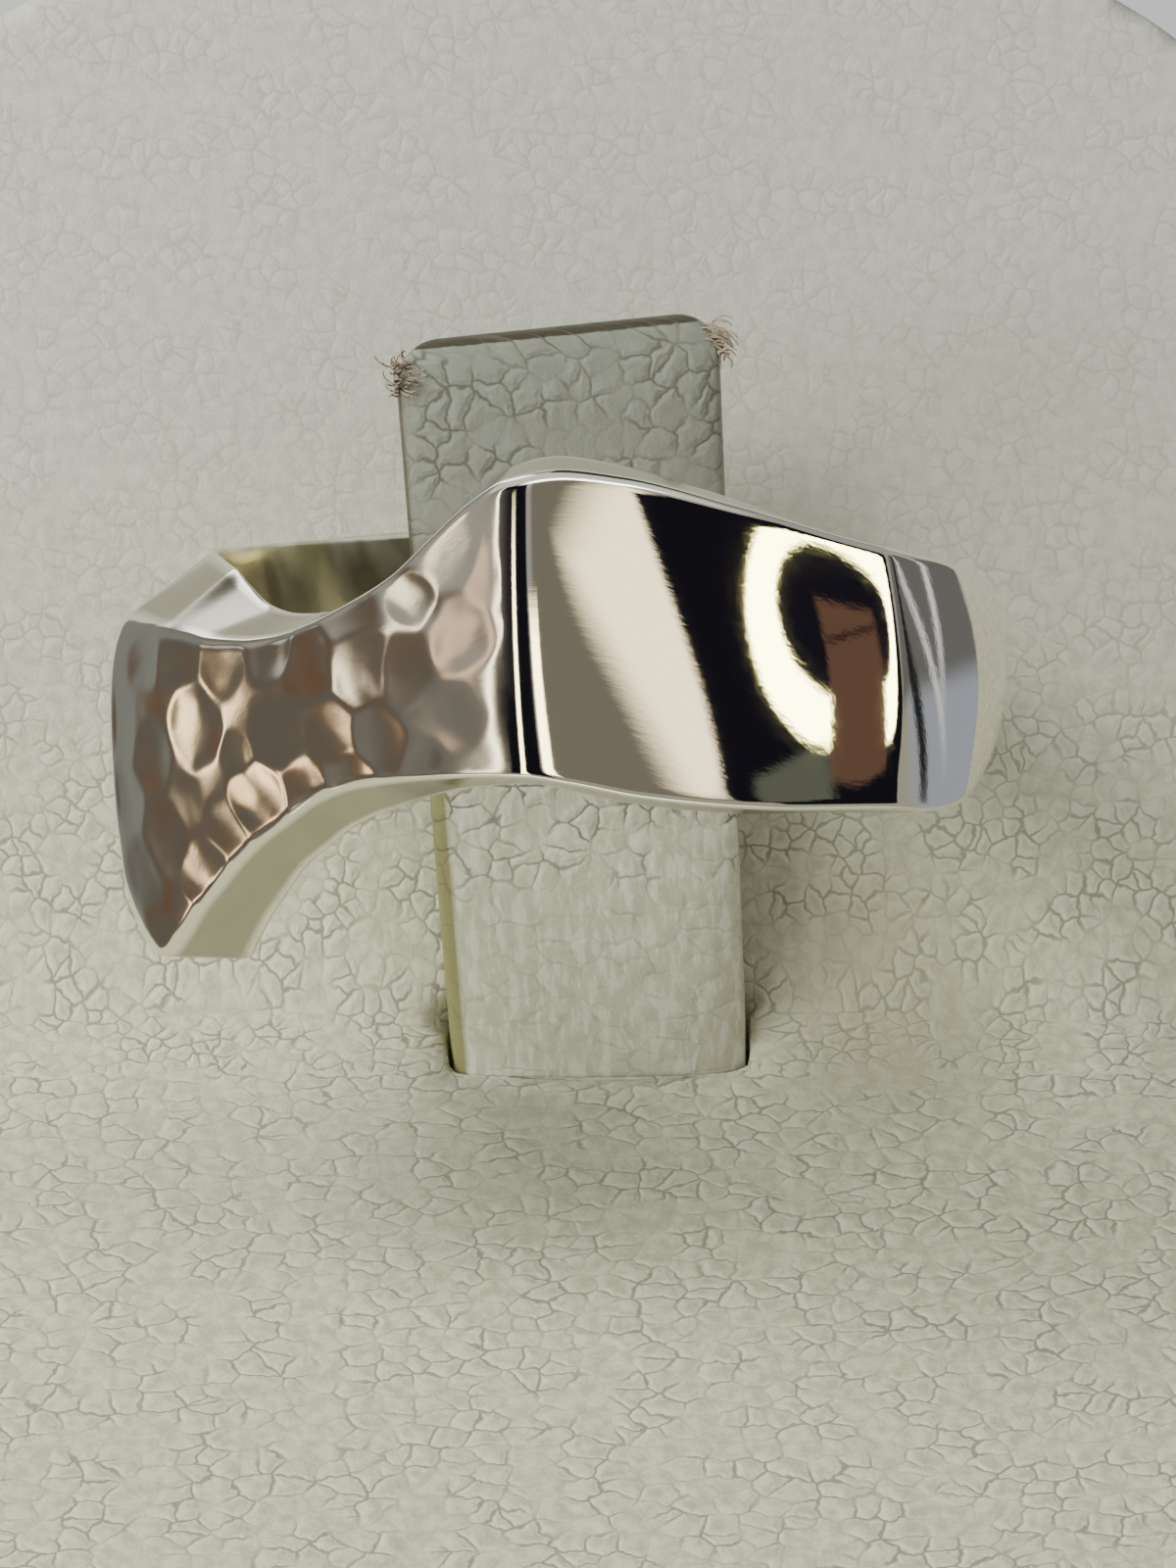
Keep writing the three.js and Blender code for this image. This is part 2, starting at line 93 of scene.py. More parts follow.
# %% [markdown]
# ## The camera
# A camera with a long lens stands straight in front and looks down on the ring. It is made
# first, so that every later step can be looked at.

# %% Camera
LENS = 138.4
CAMERA_DISTANCE = 150
CAMERA_ELEVATION = math.radians(35.5)
AIM_RIGHT = 0.37
AIM_UP = -3.41

toward_camera = Vector((0, -math.cos(CAMERA_ELEVATION), math.sin(CAMERA_ELEVATION)))
picture_up = Vector((0, math.sin(CAMERA_ELEVATION), math.cos(CAMERA_ELEVATION)))
aim = ring_centre + AIM_RIGHT * MM * Vector((1, 0, 0)) + AIM_UP * MM * picture_up
camera = bpy.data.objects.new("camera", bpy.data.cameras.new("camera"))
camera.data.lens = LENS
camera.data.sensor_width = 36
camera.data.clip_start = 0.01
camera.location = ring_centre + CAMERA_DISTANCE * MM * toward_camera
camera.rotation_euler = (aim - camera.location).to_track_quat("-Z", "Y").to_euler()
bpy.context.scene.collection.objects.link(camera)
bpy.context.scene.camera = camera
print("camera at, mm:", [round(c / MM, 1) for c in camera.location])

# %% [markdown]
# ## Small helpers
# Tables with named columns hold the sizes. A smooth curve runs through the rows of a table and
# never overshoots one, so a filed edge stays as clean as it is on the bench.


# %% Tables and curves
def table(columns, rows):
    """A table as one array for each named column."""
    return dict(zip(columns.split(), np.array(rows, float).T))


def curve_through(at, value):
    """A smooth curve through the points (at, value) that never overshoots."""
    rise = np.diff(value) / np.diff(at)
    before, after = rise[:-1], rise[1:]
    slope = np.zeros(len(at))
    steady = before * after > 0
    both = np.where(steady, before + after, 1)
    slope[1:-1] = np.where(steady, 2 * before * after / both, 0)

    def curve(x):
        k = np.clip(np.searchsorted(at, x, side="right") - 1, 0, len(at) - 2)
        span = at[k + 1] - at[k]
        t = np.clip((x - at[k]) / span, 0, 1)
        s = 1 - t
        start = s * s * ((1 + 2 * t) * value[k] + t * span * slope[k])
        end = t * t * ((3 - 2 * t) * value[k + 1] - s * span * slope[k + 1])
        return start + end

    return curve


def curve_round(angle, value):
    """The same for a table of angles, carried once round so that its ends meet."""
    angles = np.concatenate([angle[-1:] - 360, angle, angle[:2] + 360])
    values = np.concatenate([value[-1:], value, value[:2]])
    curve = curve_through(angles, values)
    return lambda at: curve(angle[0] + np.mod(np.asarray(at, float) - angle[0], 360))


def smooth_step(low, high, value):
    """0 below low, 1 above high, and a smooth rise between."""
    t = np.clip((value - low) / (high - low), 0, 1)
    return t * t * (3 - 2 * t)


# %% Meshes
def new_piece(name, vertices, faces):
    """A smooth-shaded mesh object from scene points and faces."""
    mesh = bpy.data.meshes.new(name)
    mesh.from_pydata(vertices.tolist(), [], faces)
    mesh.polygons.foreach_set("use_smooth", np.ones(len(mesh.polygons), bool))
    piece = bpy.data.objects.new(name, mesh)
    bpy.context.scene.collection.objects.link(piece)
    return piece


def loft(name, loops, closed):
    """Joins loops of equal length into one skin. A closed loft meets itself, and an open one is
    capped."""
    rows, count = loops.shape[:2]
    column = np.arange(count)
    here = np.arange(rows if closed else rows - 1)[:, None] * count + column
    after = (here + count) % (rows * count)
    quads = np.stack([here, after, np.roll(after, -1, 1), np.roll(here, -1, 1)], -1)
    faces = quads.reshape(-1, 4).tolist()
    if not closed:
        faces.append(column.tolist())
        faces.append((column[::-1] + (rows - 1) * count).tolist())
    return new_piece(name, loops.reshape(-1, 3), faces)


def put_attribute(piece, name, values):
    """Stores one number or one vector for each vertex."""
    values = np.asarray(values, np.float32)
    kind, field = ("FLOAT_VECTOR", "vector") if values.ndim == 2 else ("FLOAT", "value")
    attribute = piece.data.attributes.new(name, kind, "POINT")
    attribute.data.foreach_set(field, values.ravel())


def baked(piece, name):
    """The piece with its modifiers worked out, as a plain mesh with none left."""
    depsgraph = bpy.context.evaluated_depsgraph_get()
    mesh = bpy.data.meshes.new_from_object(piece.evaluated_get(depsgraph))
    made = bpy.data.objects.new(name, mesh)
    mesh.name = name
    bpy.context.scene.collection.objects.link(made)
    bpy.data.objects.remove(piece)
    return made


def triangles(piece):
    piece.data.calc_loop_triangles()
    return len(piece.data.loop_triangles)


# %% [markdown]
# ## Nodes
# Materials and geometry trees are both built from nodes. One small function adds a node with
# its settings and links, and a second finds a socket by name among those that are in use.


# %% Node helper and colours
def socket(sockets, key):
    """A socket by number, or the first one in use with that name."""
    if isinstance(key, int):
        return sockets[key]
    return next(s for s in sockets if s.name == key and s.enabled)


def add(tree, kind, inputs=None, output=0, **settings):
    """Adds a node with its settings, values and links, and gives back one of its outputs."""
    made = tree.nodes.new(kind)
    for name, value in settings.items():
        setattr(made, name, value)
    for key, value in (inputs or {}).items():
        if isinstance(value, bpy.types.NodeSocket):
            tree.links.new(value, socket(made.inputs, key))
        else:
            socket(made.inputs, key).default_value = value
    return socket(made.outputs, output) if output is not None else made


def linear(colour):
    """An sRGB hex colour as the linear numbers that a shader uses."""
    channels = [int(colour[k:k + 2], 16) / 255 for k in (0, 2, 4)]
    bright = [c / 12.92 if c <= 0.04045 else ((c + 0.055) / 1.055) ** 2.4 for c in channels]
    return (*bright, 1.0)


# %% [markdown]
# ## The ring's shape
# The outside was filed flat, face by face, and the file leaves each face as a shallow arc.
# So each face is the rim of a large disc through two neighbouring ridges, and where two faces
# meet, a small softness wears the ridge round. The upper and lower edges swing apart in front
# and far down into the lobe at the left. Both are tables by angle.

# %% Ring sizes, in millimetres and degrees
BORE_ROUND = 0.15
EDGE_ROUND = 0.2
FACE_CROWN = 0.22
LOBE_ROLL = {"angle": -82, "spread": 14, "depth": 0.25, "power": 6}
HAMMERED_FROM = (-79.5, -77.5)
HAMMERED_TO = (-7.4, -8.6)

RIDGES = table("angle reach softness bow", [
    (-79, 11.7, 0.05, 17),
    (-7, 10.86, 0.12, 17),
    (46, 10.8, 0.03, 18),
    (86.5, 10.74, 0.03, 14),
    (140, SHANK_REACH, 0.25, SHANK_REACH),
    (220, SHANK_REACH, 0.25, 18),
])

EDGES = table("angle top bottom top_spread bottom_spread", [
    (-180, 1.95, -1.85, 0.0, 0.0),
    (-150, 2.2, -1.85, 0.0, 0.0),
    (-125, 2.3, -2.1, 0.2, 0.1),
    (-102, 2.0, -3.1, 0.8, 0.3),
    (-90, 1.75, -4.6, 1.25, 0.4),
    (-81, 1.65, -6.15, 1.4, 0.35),
    (-75, 1.57, -6.7, 1.45, 0.3),
    (-68, 1.5, -6.0, 1.4, 0.4),
    (-62, 1.45, -5.05, 1.1, 0.65),
    (-56, 1.42, -4.2, 0.75, 0.8),
    (-50, 1.46, -3.4, 0.55, 0.85),
    (-44, 1.6, -2.75, 0.42, 0.95),
    (-38, 1.92, -2.15, 0.28, 1.0),
    (-31, 2.45, -1.78, 0.14, 0.95),
    (-24, 3.1, -1.66, 0.08, 0.7),
    (-18, 3.95, -1.6, 0.08, 0.56),
    (-12, 4.8, -1.58, 0.12, 0.5),
    (-7, 5.3, -1.62, 0.2, 0.46),
    (-1, 5.45, -1.85, 0.22, 0.44),
    (8, 5.18, -2.3, 0.24, 0.38),
    (24, 4.25, -2.85, 0.28, 0.3),
    (45, 2.95, -3.35, 0.32, 0.2),
    (55, 2.5, -3.68, 0.3, 0.15),
    (64, 2.15, -3.8, 0.25, 0.15),
    (76, 1.6, -3.3, 0.15, 0.1),
    (90, 1.2, -2.55, 0.1, 0.05),
    (120, 1.4, -2.0, 0.0, 0.0),
    (150, 1.7, -1.85, 0.0, 0.0),
])


# %% Filed faces
def filed_faces():
    """The middle angle, disc centre and disc radius of the face after each ridge."""
    faces = []
    angles = np.append(RIDGES["angle"], RIDGES["angle"][0] + 360)
    reaches = np.append(RIDGES["reach"], RIDGES["reach"][0])
    for k, bow in enumerate(RIDGES["bow"]):
        half = math.radians(angles[k + 1] - angles[k]) / 2
        start = reaches[k] * np.array([math.cos(half), -math.sin(half)])
        end = reaches[k + 1] * np.array([math.cos(half), math.sin(half)])
        chord = end - start
        depth = math.sqrt(bow ** 2 - chord @ chord / 4)
        inward = np.array([-chord[1], chord[0]]) / np.linalg.norm(chord)
        faces.append(((angles[k] + angles[k + 1]) / 2, (start + end) / 2 + depth * inward, bow))
    return faces


def from_front(angle):
    """The same direction as an angle of at most 180 from the front."""
    return np.where(angle > 180, angle - 360, angle)


FACES = filed_faces()
# Keeps the exponential far inside a disc from running over.
LARGEST_POWER = 60

ridge_angle = from_front(RIDGES["angle"])
by_angle = np.argsort(ridge_angle)
softness_at = curve_round(ridge_angle[by_angle], RIDGES["softness"][by_angle])


def band_reach(angle):
    """How far out the band's outside lies. The nearest face rules, and ridges are worn."""
    softness = softness_at(angle)
    total = np.zeros(np.shape(angle))
    for middle, centre, bow in FACES:
        turn = np.radians(angle - middle)
        along = centre[0] * np.cos(turn) + centre[1] * np.sin(turn)
        aside = centre[1] * np.cos(turn) - centre[0] * np.sin(turn)
        reach = along + np.sqrt(np.maximum(bow ** 2 - aside ** 2, 0))
        near = np.exp(np.minimum((SHANK_REACH - reach) / softness, LARGEST_POWER))
        total += np.where(np.cos(turn) < 0, 0, near)
    return SHANK_REACH - softness * np.log(total)


edge_top, edge_bottom, top_spread, bottom_spread = (
    curve_round(EDGES["angle"], EDGES[name])
    for name in ("top", "bottom", "top_spread", "bottom_spread")
)


def face_reach(angle, share):
    """The outside at a share of the way from the lower edge, -1, to the upper edge, 1."""
    aside = (angle - LOBE_ROLL["angle"]) / LOBE_ROLL["spread"]
    roll = LOBE_ROLL["depth"] * np.exp(-aside ** 2) * share ** LOBE_ROLL["power"]
    return band_reach(angle) - FACE_CROWN * share ** 2 - roll


print("reach at the four front ridges, mm:", band_reach(RIDGES["angle"][:4]).round(2))

# %% [markdown]
# ## The ring's skin
# A section of the band is one loop: up the outside, over the rounded edge, across the side wall
# to the bore, down the bore and back. Sections stand closer together where the surface turns
# quickly, at the ridges and on the hammered part. Each vertex also stores how much of a hammer
# blow it takes, from all of it on the outside to none in the bore.

# %% Ring stations and section
STATIONS = table("start step", [
    (-92, 0.22),
    (-3, 0.45),
    (41, 0.2),
    (51, 0.45),
    (83, 0.2),
    (93, 0.9),
])
LAST_STATION = 268
FACE_POINTS = 56
WALL_POINTS = 9
ROUND_POINTS = 6
BORE_POINTS = 12


def station_angles():
    starts, steps = STATIONS["start"], STATIONS["step"]
    ends = np.append(starts[1:], LAST_STATION)
    return np.concatenate([np.arange(a, b - s / 2, s) for a, b, s in zip(starts, ends, steps)])


def bend(start, corner, end, count):
    """Points on a round corner, without its two ends. The last axis holds reach and height."""
    t = (np.arange(1, count + 1) / (count + 1))[:, None, None]
    return (1 - t) ** 2 * start + 2 * t * (1 - t) * corner + t ** 2 * end


def straight(start, end, count):
    return start + np.linspace(0, 1, count)[:, None, None] * (end - start)


def toward(start, end, length):
    """The point at that length from start on the way to end."""
    way = end - start
    return start + way / np.linalg.norm(way, axis=-1, keepdims=True) * length


angles = station_angles()
wrapped = from_front(angles)
top, bottom = edge_top(angles), edge_bottom(angles)
share = np.linspace(-1, 1, FACE_POINTS)[:, None]
heights = bottom + EDGE_ROUND + (share + 1) / 2 * (top - bottom - 2 * EDGE_ROUND)
outside = np.stack([face_reach(wrapped, share), heights], -1)
rise_at_top, rise_at_bottom = heights[-1] - heights[-2], heights[1] - heights[0]
upper_corner = outside[-1] + (outside[-1] - outside[-2]) / rise_at_top[:, None] * EDGE_ROUND
lower_corner = outside[0] + (outside[0] - outside[1]) / rise_at_bottom[:, None] * EDGE_ROUND
bore_top = np.stack([np.full(len(angles), BORE_RADIUS), top + top_spread(angles)], -1)
bore_bottom = np.stack([np.full(len(angles), BORE_RADIUS), bottom - bottom_spread(angles)], -1)

section = [outside]
face_weight = [np.ones(FACE_POINTS)]
for corner, bore_end, sign in ((upper_corner, bore_top, 1), (lower_corner, bore_bottom, -1)):
    wall_out = toward(corner, bore_end, EDGE_ROUND)
    wall_in = toward(bore_end, corner, BORE_ROUND)
    bore_edge = bore_end - [0, sign * BORE_ROUND]
    face_end = outside[-1] if sign > 0 else outside[0]
    side = np.concatenate([
        bend(face_end, corner, wall_out, ROUND_POINTS),
        straight(wall_out, wall_in, WALL_POINTS),
        bend(wall_in, bore_end, bore_edge, ROUND_POINTS // 2),
        bore_edge[None],
    ])
    weight = np.concatenate([
        np.ones(ROUND_POINTS),
        np.linspace(1, 0, WALL_POINTS),
        np.zeros(ROUND_POINTS // 2 + 1),
    ])
    if sign > 0:
        bore_start = bore_edge
        section.append(side)
        face_weight.append(weight)
    else:
        section.append(straight(bore_start, bore_edge, BORE_POINTS)[1:-1])
        section.append(side[::-1])
        face_weight += [np.zeros(BORE_POINTS - 2), weight[::-1]]
section = np.concatenate(section).transpose(1, 0, 2)
face_weight = np.concatenate(face_weight)

# %% Ring mesh
radians = np.radians(angles)
outward = np.stack([np.sin(radians), -np.cos(radians), np.zeros(len(angles))], -1)
ring_points = section[..., :1] * outward[:, None, :]
ring_points[..., 2] = section[..., 1]
ring = loft("ring_blank", placed(ring_points), closed=True)

struck = smooth_step(*HAMMERED_FROM, wrapped) * smooth_step(*HAMMERED_TO, wrapped)
hammered = struck[:, None] * face_weight
wall_share = np.broadcast_to((face_weight > 0) & (face_weight < 1), hammered.shape).astype(float)
bore_share = (section[..., 0] < BORE_RADIUS + BORE_ROUND / 2).astype(float)
inward = np.broadcast_to(-(outward @ TURN.T)[:, None, :], ring_points.shape)
put_attribute(ring, "hammered", hammered.ravel())
put_attribute(ring, "wall", wall_share.ravel())
put_attribute(ring, "bore", bore_share.ravel())
put_attribute(ring, "inward", inward.reshape(-1, 3))
print("ring blank:", section.shape[0], "stations of", section.shape[1], "points")

# %% [markdown]
# ## The silver
# Sterling silver that was polished on a wheel: a nearly perfect mirror with a faint warm tint.
# The wheel and wear leave hair-fine scratches, which only break up a reflection a little. The
# hammered face was left as the hammer's own polished face struck it, so it is a shade softer.
# The side walls were filed and only brushed over, so they are duller and darker. The bore was
# finished with a drum, which draws streaks along it, and it has tarnished along those streaks. One
# material does all of this, because it is one casting: numbers stored on the mesh say where each
# finish is.


# %% Coats of colour and new materials
def new_material(name):
    """A material with nothing in it yet, and its node tree."""
    material = bpy.data.materials.new(name)
    material.use_nodes = True
    material.node_tree.nodes.clear()
    return material, material.node_tree


def coat(tree, colour, value, span, shares, tint):
    """Lays a tint over a colour. While the value crosses the span, the tint's share goes smoothly
    from the first of the shares to the second."""
    share = add(tree, "ShaderNodeMapRange", {
        "Value": value,
        "From Min": span[0],
        "From Max": span[1],
        "To Min": shares[0],
        "To Max": shares[1],
    }, interpolation_type="SMOOTHSTEP")
    return add(tree, "ShaderNodeMix", {"Factor": share, "A": colour, "B": tint},
               output="Result", data_type="RGBA")


# %% Polished sterling silver
SILVER = "F6F2EA"
FILED_WALL = "ACA99A"
TARNISH_DARK = "D0CABB"
TARNISH_PALE = "FBF7EC"
TARNISH_STREAKS = (0.38, 0.62)
POLISHED_ROUGHNESS = (0.01, 0.06)
STRUCK_ROUGHNESS = (0.08, 0.16)
BORE_ROUGHNESS = (0.12, 0.3)
WALL_ROUGHNESS = 0.14
# Real polishing scratches are under 0.01 mm apart. These are about 0.1 mm apart, to still show.
SCRATCH_LENGTH = 1.2
SCRATCH_SQUEEZE = (1, 14, 6)
SCRATCH_TURN = (0.3, 0.5, 0.9)
SCRATCH_DEPTH = 0.02
SCRATCH_RELIEF = 0.05
GRAIN_SIZE = 0.5
DRUM_LINE_SPACING = 0.9
DRUM_STRETCH = (1.0, 1.0, 0.05)


def make_silver():
    material, tree = new_material("polished sterling silver")
    place = add(tree, "ShaderNodeTexCoord", output="Object")
    is_hammered, is_wall, is_bore = (
        add(tree, "ShaderNodeAttribute", output="Fac", attribute_name=part)
        for part in ("hammered", "wall", "bore")
    )
    along_scratch = add(tree, "ShaderNodeMapping", {
        "Vector": place, "Rotation": SCRATCH_TURN, "Scale": SCRATCH_SQUEEZE,
    })
    scratches = add(tree, "ShaderNodeTexNoise", {
        "Vector": along_scratch,
        "Scale": 1 / (SCRATCH_LENGTH * MM),
        "Detail": 3.0,
        "Roughness": 0.6,
    })
    grain = add(tree, "ShaderNodeTexNoise", {
        "Vector": place, "Scale": 1 / (GRAIN_SIZE * MM), "Detail": 3.0,
    })
    along_drum = add(tree, "ShaderNodeMapping", {
        "Vector": place, "Rotation": (lean, 0, 0), "Scale": DRUM_STRETCH,
    })
    drum_lines = add(tree, "ShaderNodeTexNoise", {
        "Vector": along_drum, "Scale": 1 / (DRUM_LINE_SPACING * MM), "Detail": 1.0,
    })
    roughness, struck_roughness, bore_roughness = (
        add(tree, "ShaderNodeMapRange", {"Value": value, "To Min": low, "To Max": high})
        for value, (low, high) in (
            (scratches, POLISHED_ROUGHNESS),
            (grain, STRUCK_ROUGHNESS),
            (drum_lines, BORE_ROUGHNESS),
        )
    )
    for is_part, part_roughness in (
        (is_hammered, struck_roughness),
        (is_wall, WALL_ROUGHNESS),
        (is_bore, bore_roughness),
    ):
        roughness = add(tree, "ShaderNodeMix", {
            "Factor": is_part, "A": roughness, "B": part_roughness,
        }, output="Result")
    tarnish = coat(tree, linear(TARNISH_DARK), drum_lines, TARNISH_STREAKS, (0.0, 1.0),
                   linear(TARNISH_PALE))
    colour = linear(SILVER)
    for is_part, part_colour in ((is_wall, linear(FILED_WALL)), (is_bore, tarnish)):
        colour = add(tree, "ShaderNodeMix", {
            "Factor": is_part, "A": colour, "B": part_colour,
        }, output="Result", data_type="RGBA")
    fine = add(tree, "ShaderNodeBump", {
        "Height": scratches, "Strength": SCRATCH_RELIEF, "Distance": SCRATCH_DEPTH * MM,
    }, output="Normal")
    surface = add(tree, "ShaderNodeBsdfPrincipled", {
        "Base Color": colour,
        "Metallic": 1.0,
        "Roughness": roughness,
        "Normal": fine,
    })
    add(tree, "ShaderNodeOutputMaterial", {"Surface": surface}, output=None)
    return material


silver = make_silver()
print("finish:", silver.name)

# %% [markdown]
# ## Hammer marks
# Each blow of a domed hammer leaves a shallow round dish, and where two dishes meet, the metal
# between them stands as a crisp rim. So at any point the deepest dish counts. Geometry Nodes do
# this well: a repeat zone goes through the marks one by one, keeps the deepest dish for every
# vertex, and then moves the vertex inwards. The large marks are listed one by one, where the smith
# struck them, by their angle and height on the face, and small ones are scattered between them.

# %% Where the hammer struck
MARKS = table("angle height radius depth", [
    (-77.0, -0.9, 1.1, 0.07),
    (-75.5, -2.7, 1.0, 0.07),
    (-73.0, -4.6, 1.0, 0.06),
    (-71.5, -6.1, 0.7, 0.04),
    (-70.5, 0.9, 0.8, 0.09),
    (-68.0, -1.6, 1.0, 0.07),
    (-66.5, -3.5, 1.0, 0.07),
    (-62.0, 0.9, 0.95, 0.06),
    (-61.5, -2.4, 0.7, 0.03),
    (-59.2, -4.4, 1.0, 0.11),
    (-58.0, -0.6, 1.1, 0.125),
    (-52.5, 0.9, 0.9, 0.06),
    (-53.5, -3.1, 0.75, 0.04),
    (-50.0, -1.3, 0.6, 0.05),
    (-47.5, -2.3, 1.0, 0.115),
    (-44.0, 1.3, 0.85, 0.08),
    (-42.0, -0.6, 0.95, 0.06),
    (-39.5, -2.2, 0.8, 0.05),
    (-36.5, 1.1, 0.85, 0.06),
    (-34.0, -0.6, 0.9, 0.07),
    (-31.5, -1.6, 0.7, 0.06),
    (-30.0, 2.3, 0.8, 0.05),
    (-28.5, 1.0, 0.95, 0.07),
    (-26.5, -0.7, 0.85, 0.08),
    (-21.5, 0.9, 0.8, 0.05),
    (-20.3, 2.6, 0.75, 0.07),
    (-21.0, -1.2, 0.65, 0.06),
    (-16.5, -0.2, 0.95, 0.06),
    (-15.0, 3.8, 0.75, 0.04),
    (-13.3, 1.9, 0.9, 0.07),
    (-12.0, -1.2, 0.7, 0.02),
])

mark_turn = np.radians(MARKS["angle"])
mark_reach = band_reach(MARKS["angle"])
mark_points = np.stack([
    mark_reach * np.sin(mark_turn),
    -mark_reach * np.cos(mark_turn),
    MARKS["height"],
], -1)
marks = new_piece("hammer_marks", placed(mark_points), [])
put_attribute(marks, "dish_radius", MARKS["radius"] * MM)
put_attribute(marks, "dish_depth", MARKS["depth"] * MM)
print("marks set by hand:", len(mark_points))


# %% Start and run a geometry tree
def new_tree(name, inputs):
    """A geometry tree with named inputs, and its input and output nodes."""
    tree = bpy.data.node_groups.new(name, "GeometryNodeTree")
    tree.interface.new_socket("Geometry", in_out="INPUT", socket_type="NodeSocketGeometry")
    for label, kind in inputs:
        tree.interface.new_socket(label, in_out="INPUT", socket_type="NodeSocket" + kind)
    tree.interface.new_socket("Geometry", in_out="OUTPUT", socket_type="NodeSocketGeometry")
    return tree, add(tree, "NodeGroupInput", output=None), add(tree, "NodeGroupOutput", output=None)


def run_tree(piece, tree, values):
    """Puts a tree on a piece as a modifier and sets its inputs by the identifier of each socket."""
    modifier = piece.modifiers.new(tree.name, "NODES")
    modifier.node_group = tree
    for item in tree.interface.items_tree:
        if item.in_out == "INPUT" and item.name in values:
            modifier[item.identifier] = values[item.name]


# %% Geometry Nodes: hammer dishes
# Both are shares of the small size, at the least and at the most.
SMALL_DISHES = (("dish_radius", 0.6, 1.4), ("dish_depth", 0.02, 0.05))
# How often the outline of a dish swings in and out in one millimetre.
UNEVENNESS_PER_MM = 0.7


def hammer_tree():
    tree, given, result = new_tree("Hammer dishes", [
        ("Marks", "Object"),
        ("Dish size", "Float"),
        ("Dish depth", "Float"),
        ("Rim softness", "Float"),
        ("Unevenness", "Float"),
        ("Small marks", "Float"),
        ("Small size", "Float"),
        ("Seed", "Int"),
        ("Finish", "Material"),
    ])
    wanted = given.outputs
    hammered, deepest, inward = (
        add(tree, "GeometryNodeInputNamedAttribute", {"Name": name}, data_type=kind)
        for name, kind in (("hammered", "FLOAT"), ("dish", "FLOAT"), ("inward", "FLOAT_VECTOR"))
    )
    set_marks = add(tree, "GeometryNodeObjectInfo", {"Object": wanted["Marks"]}, output="Geometry")
    set_marks = add(tree, "GeometryNodeMeshToPoints", {"Mesh": set_marks})
    density = add(tree, "ShaderNodeMath", {0: hammered, 1: wanted["Small marks"]},
                  operation="MULTIPLY")
    small_marks = add(tree, "GeometryNodeDistributePointsOnFaces", {
        "Mesh": wanted["Geometry"],
        "Density": density,
        "Seed": wanted["Seed"],
    })
    for label, low, high in SMALL_DISHES:
        size = add(tree, "FunctionNodeRandomValue", {
            "Min": low, "Max": high, "Seed": wanted["Seed"],
        }, output="Value", data_type="FLOAT")
        size = add(tree, "ShaderNodeMath", {0: size, 1: wanted["Small size"]}, operation="MULTIPLY")
        small_marks = add(tree, "GeometryNodeStoreNamedAttribute", {
            "Geometry": small_marks, "Name": label, "Value": size,
        }, data_type="FLOAT", domain="POINT")
    join = add(tree, "GeometryNodeJoinGeometry", output=None)
    tree.links.new(small_marks, join.inputs[0])
    tree.links.new(set_marks, join.inputs[0])
    all_marks = join.outputs[0]
    count = add(tree, "GeometryNodeAttributeDomainSize", {"Geometry": all_marks},
                output="Point Count", component="POINTCLOUD")

    start = tree.nodes.new("GeometryNodeRepeatInput")
    finish = tree.nodes.new("GeometryNodeRepeatOutput")
    start.pair_with_output(finish)
    tree.links.new(count, start.inputs["Iterations"])
    tree.links.new(wanted["Geometry"], start.inputs["Geometry"])

    here = add(tree, "GeometryNodeInputPosition")
    dish_radius, dish_depth = (
        add(tree, "GeometryNodeInputNamedAttribute", {"Name": name}, data_type="FLOAT")
        for name in ("dish_radius", "dish_depth")
    )
    # Each round of the repeat zone reads these three from the next mark.
    mark_place, mark_radius, mark_depth = (
        add(tree, "GeometryNodeSampleIndex", {
            "Geometry": all_marks, "Value": field, "Index": start.outputs["Iteration"],
        }, data_type=kind, domain="POINT")
        for field, kind in (
            (here, "FLOAT_VECTOR"),
            (dish_radius, "FLOAT"),
            (dish_depth, "FLOAT"),
        )
    )
    uneven = add(tree, "ShaderNodeTexNoise", {
        "Vector": here, "Scale": UNEVENNESS_PER_MM / MM, "Detail": 1.0,
    }, output="Color")
    uneven = add(tree, "ShaderNodeVectorMath", {0: uneven, 1: (0.5, 0.5, 0.5)},
                 operation="SUBTRACT")
    uneven = add(tree, "ShaderNodeVectorMath", {0: uneven, "Scale": wanted["Unevenness"]},
                 operation="SCALE")
    here = add(tree, "ShaderNodeVectorMath", {0: here, 1: uneven}, operation="ADD")
    distance = add(tree, "ShaderNodeVectorMath", {0: here, 1: mark_place},
                   output="Value", operation="DISTANCE")
    radius = add(tree, "ShaderNodeMath", {0: mark_radius, 1: wanted["Dish size"]},
                 operation="MULTIPLY")
    share = add(tree, "ShaderNodeMath", {0: distance, 1: radius}, operation="DIVIDE")
    square = add(tree, "ShaderNodeMath", {0: share, 1: share}, operation="MULTIPLY")
    nearness = add(tree, "ShaderNodeMath", {0: 1.0, 1: square}, operation="SUBTRACT")
    dish = add(tree, "ShaderNodeMath", {0: nearness, 1: mark_depth}, operation="MULTIPLY")
    deeper = add(tree, "ShaderNodeMath", {0: dish, 1: deepest, 2: wanted["Rim softness"]},
                 operation="SMOOTH_MAX")
    stored = add(tree, "GeometryNodeStoreNamedAttribute", {
        "Geometry": start.outputs["Geometry"], "Name": "dish", "Value": deeper,
    }, data_type="FLOAT", domain="POINT")
    tree.links.new(stored, finish.inputs["Geometry"])

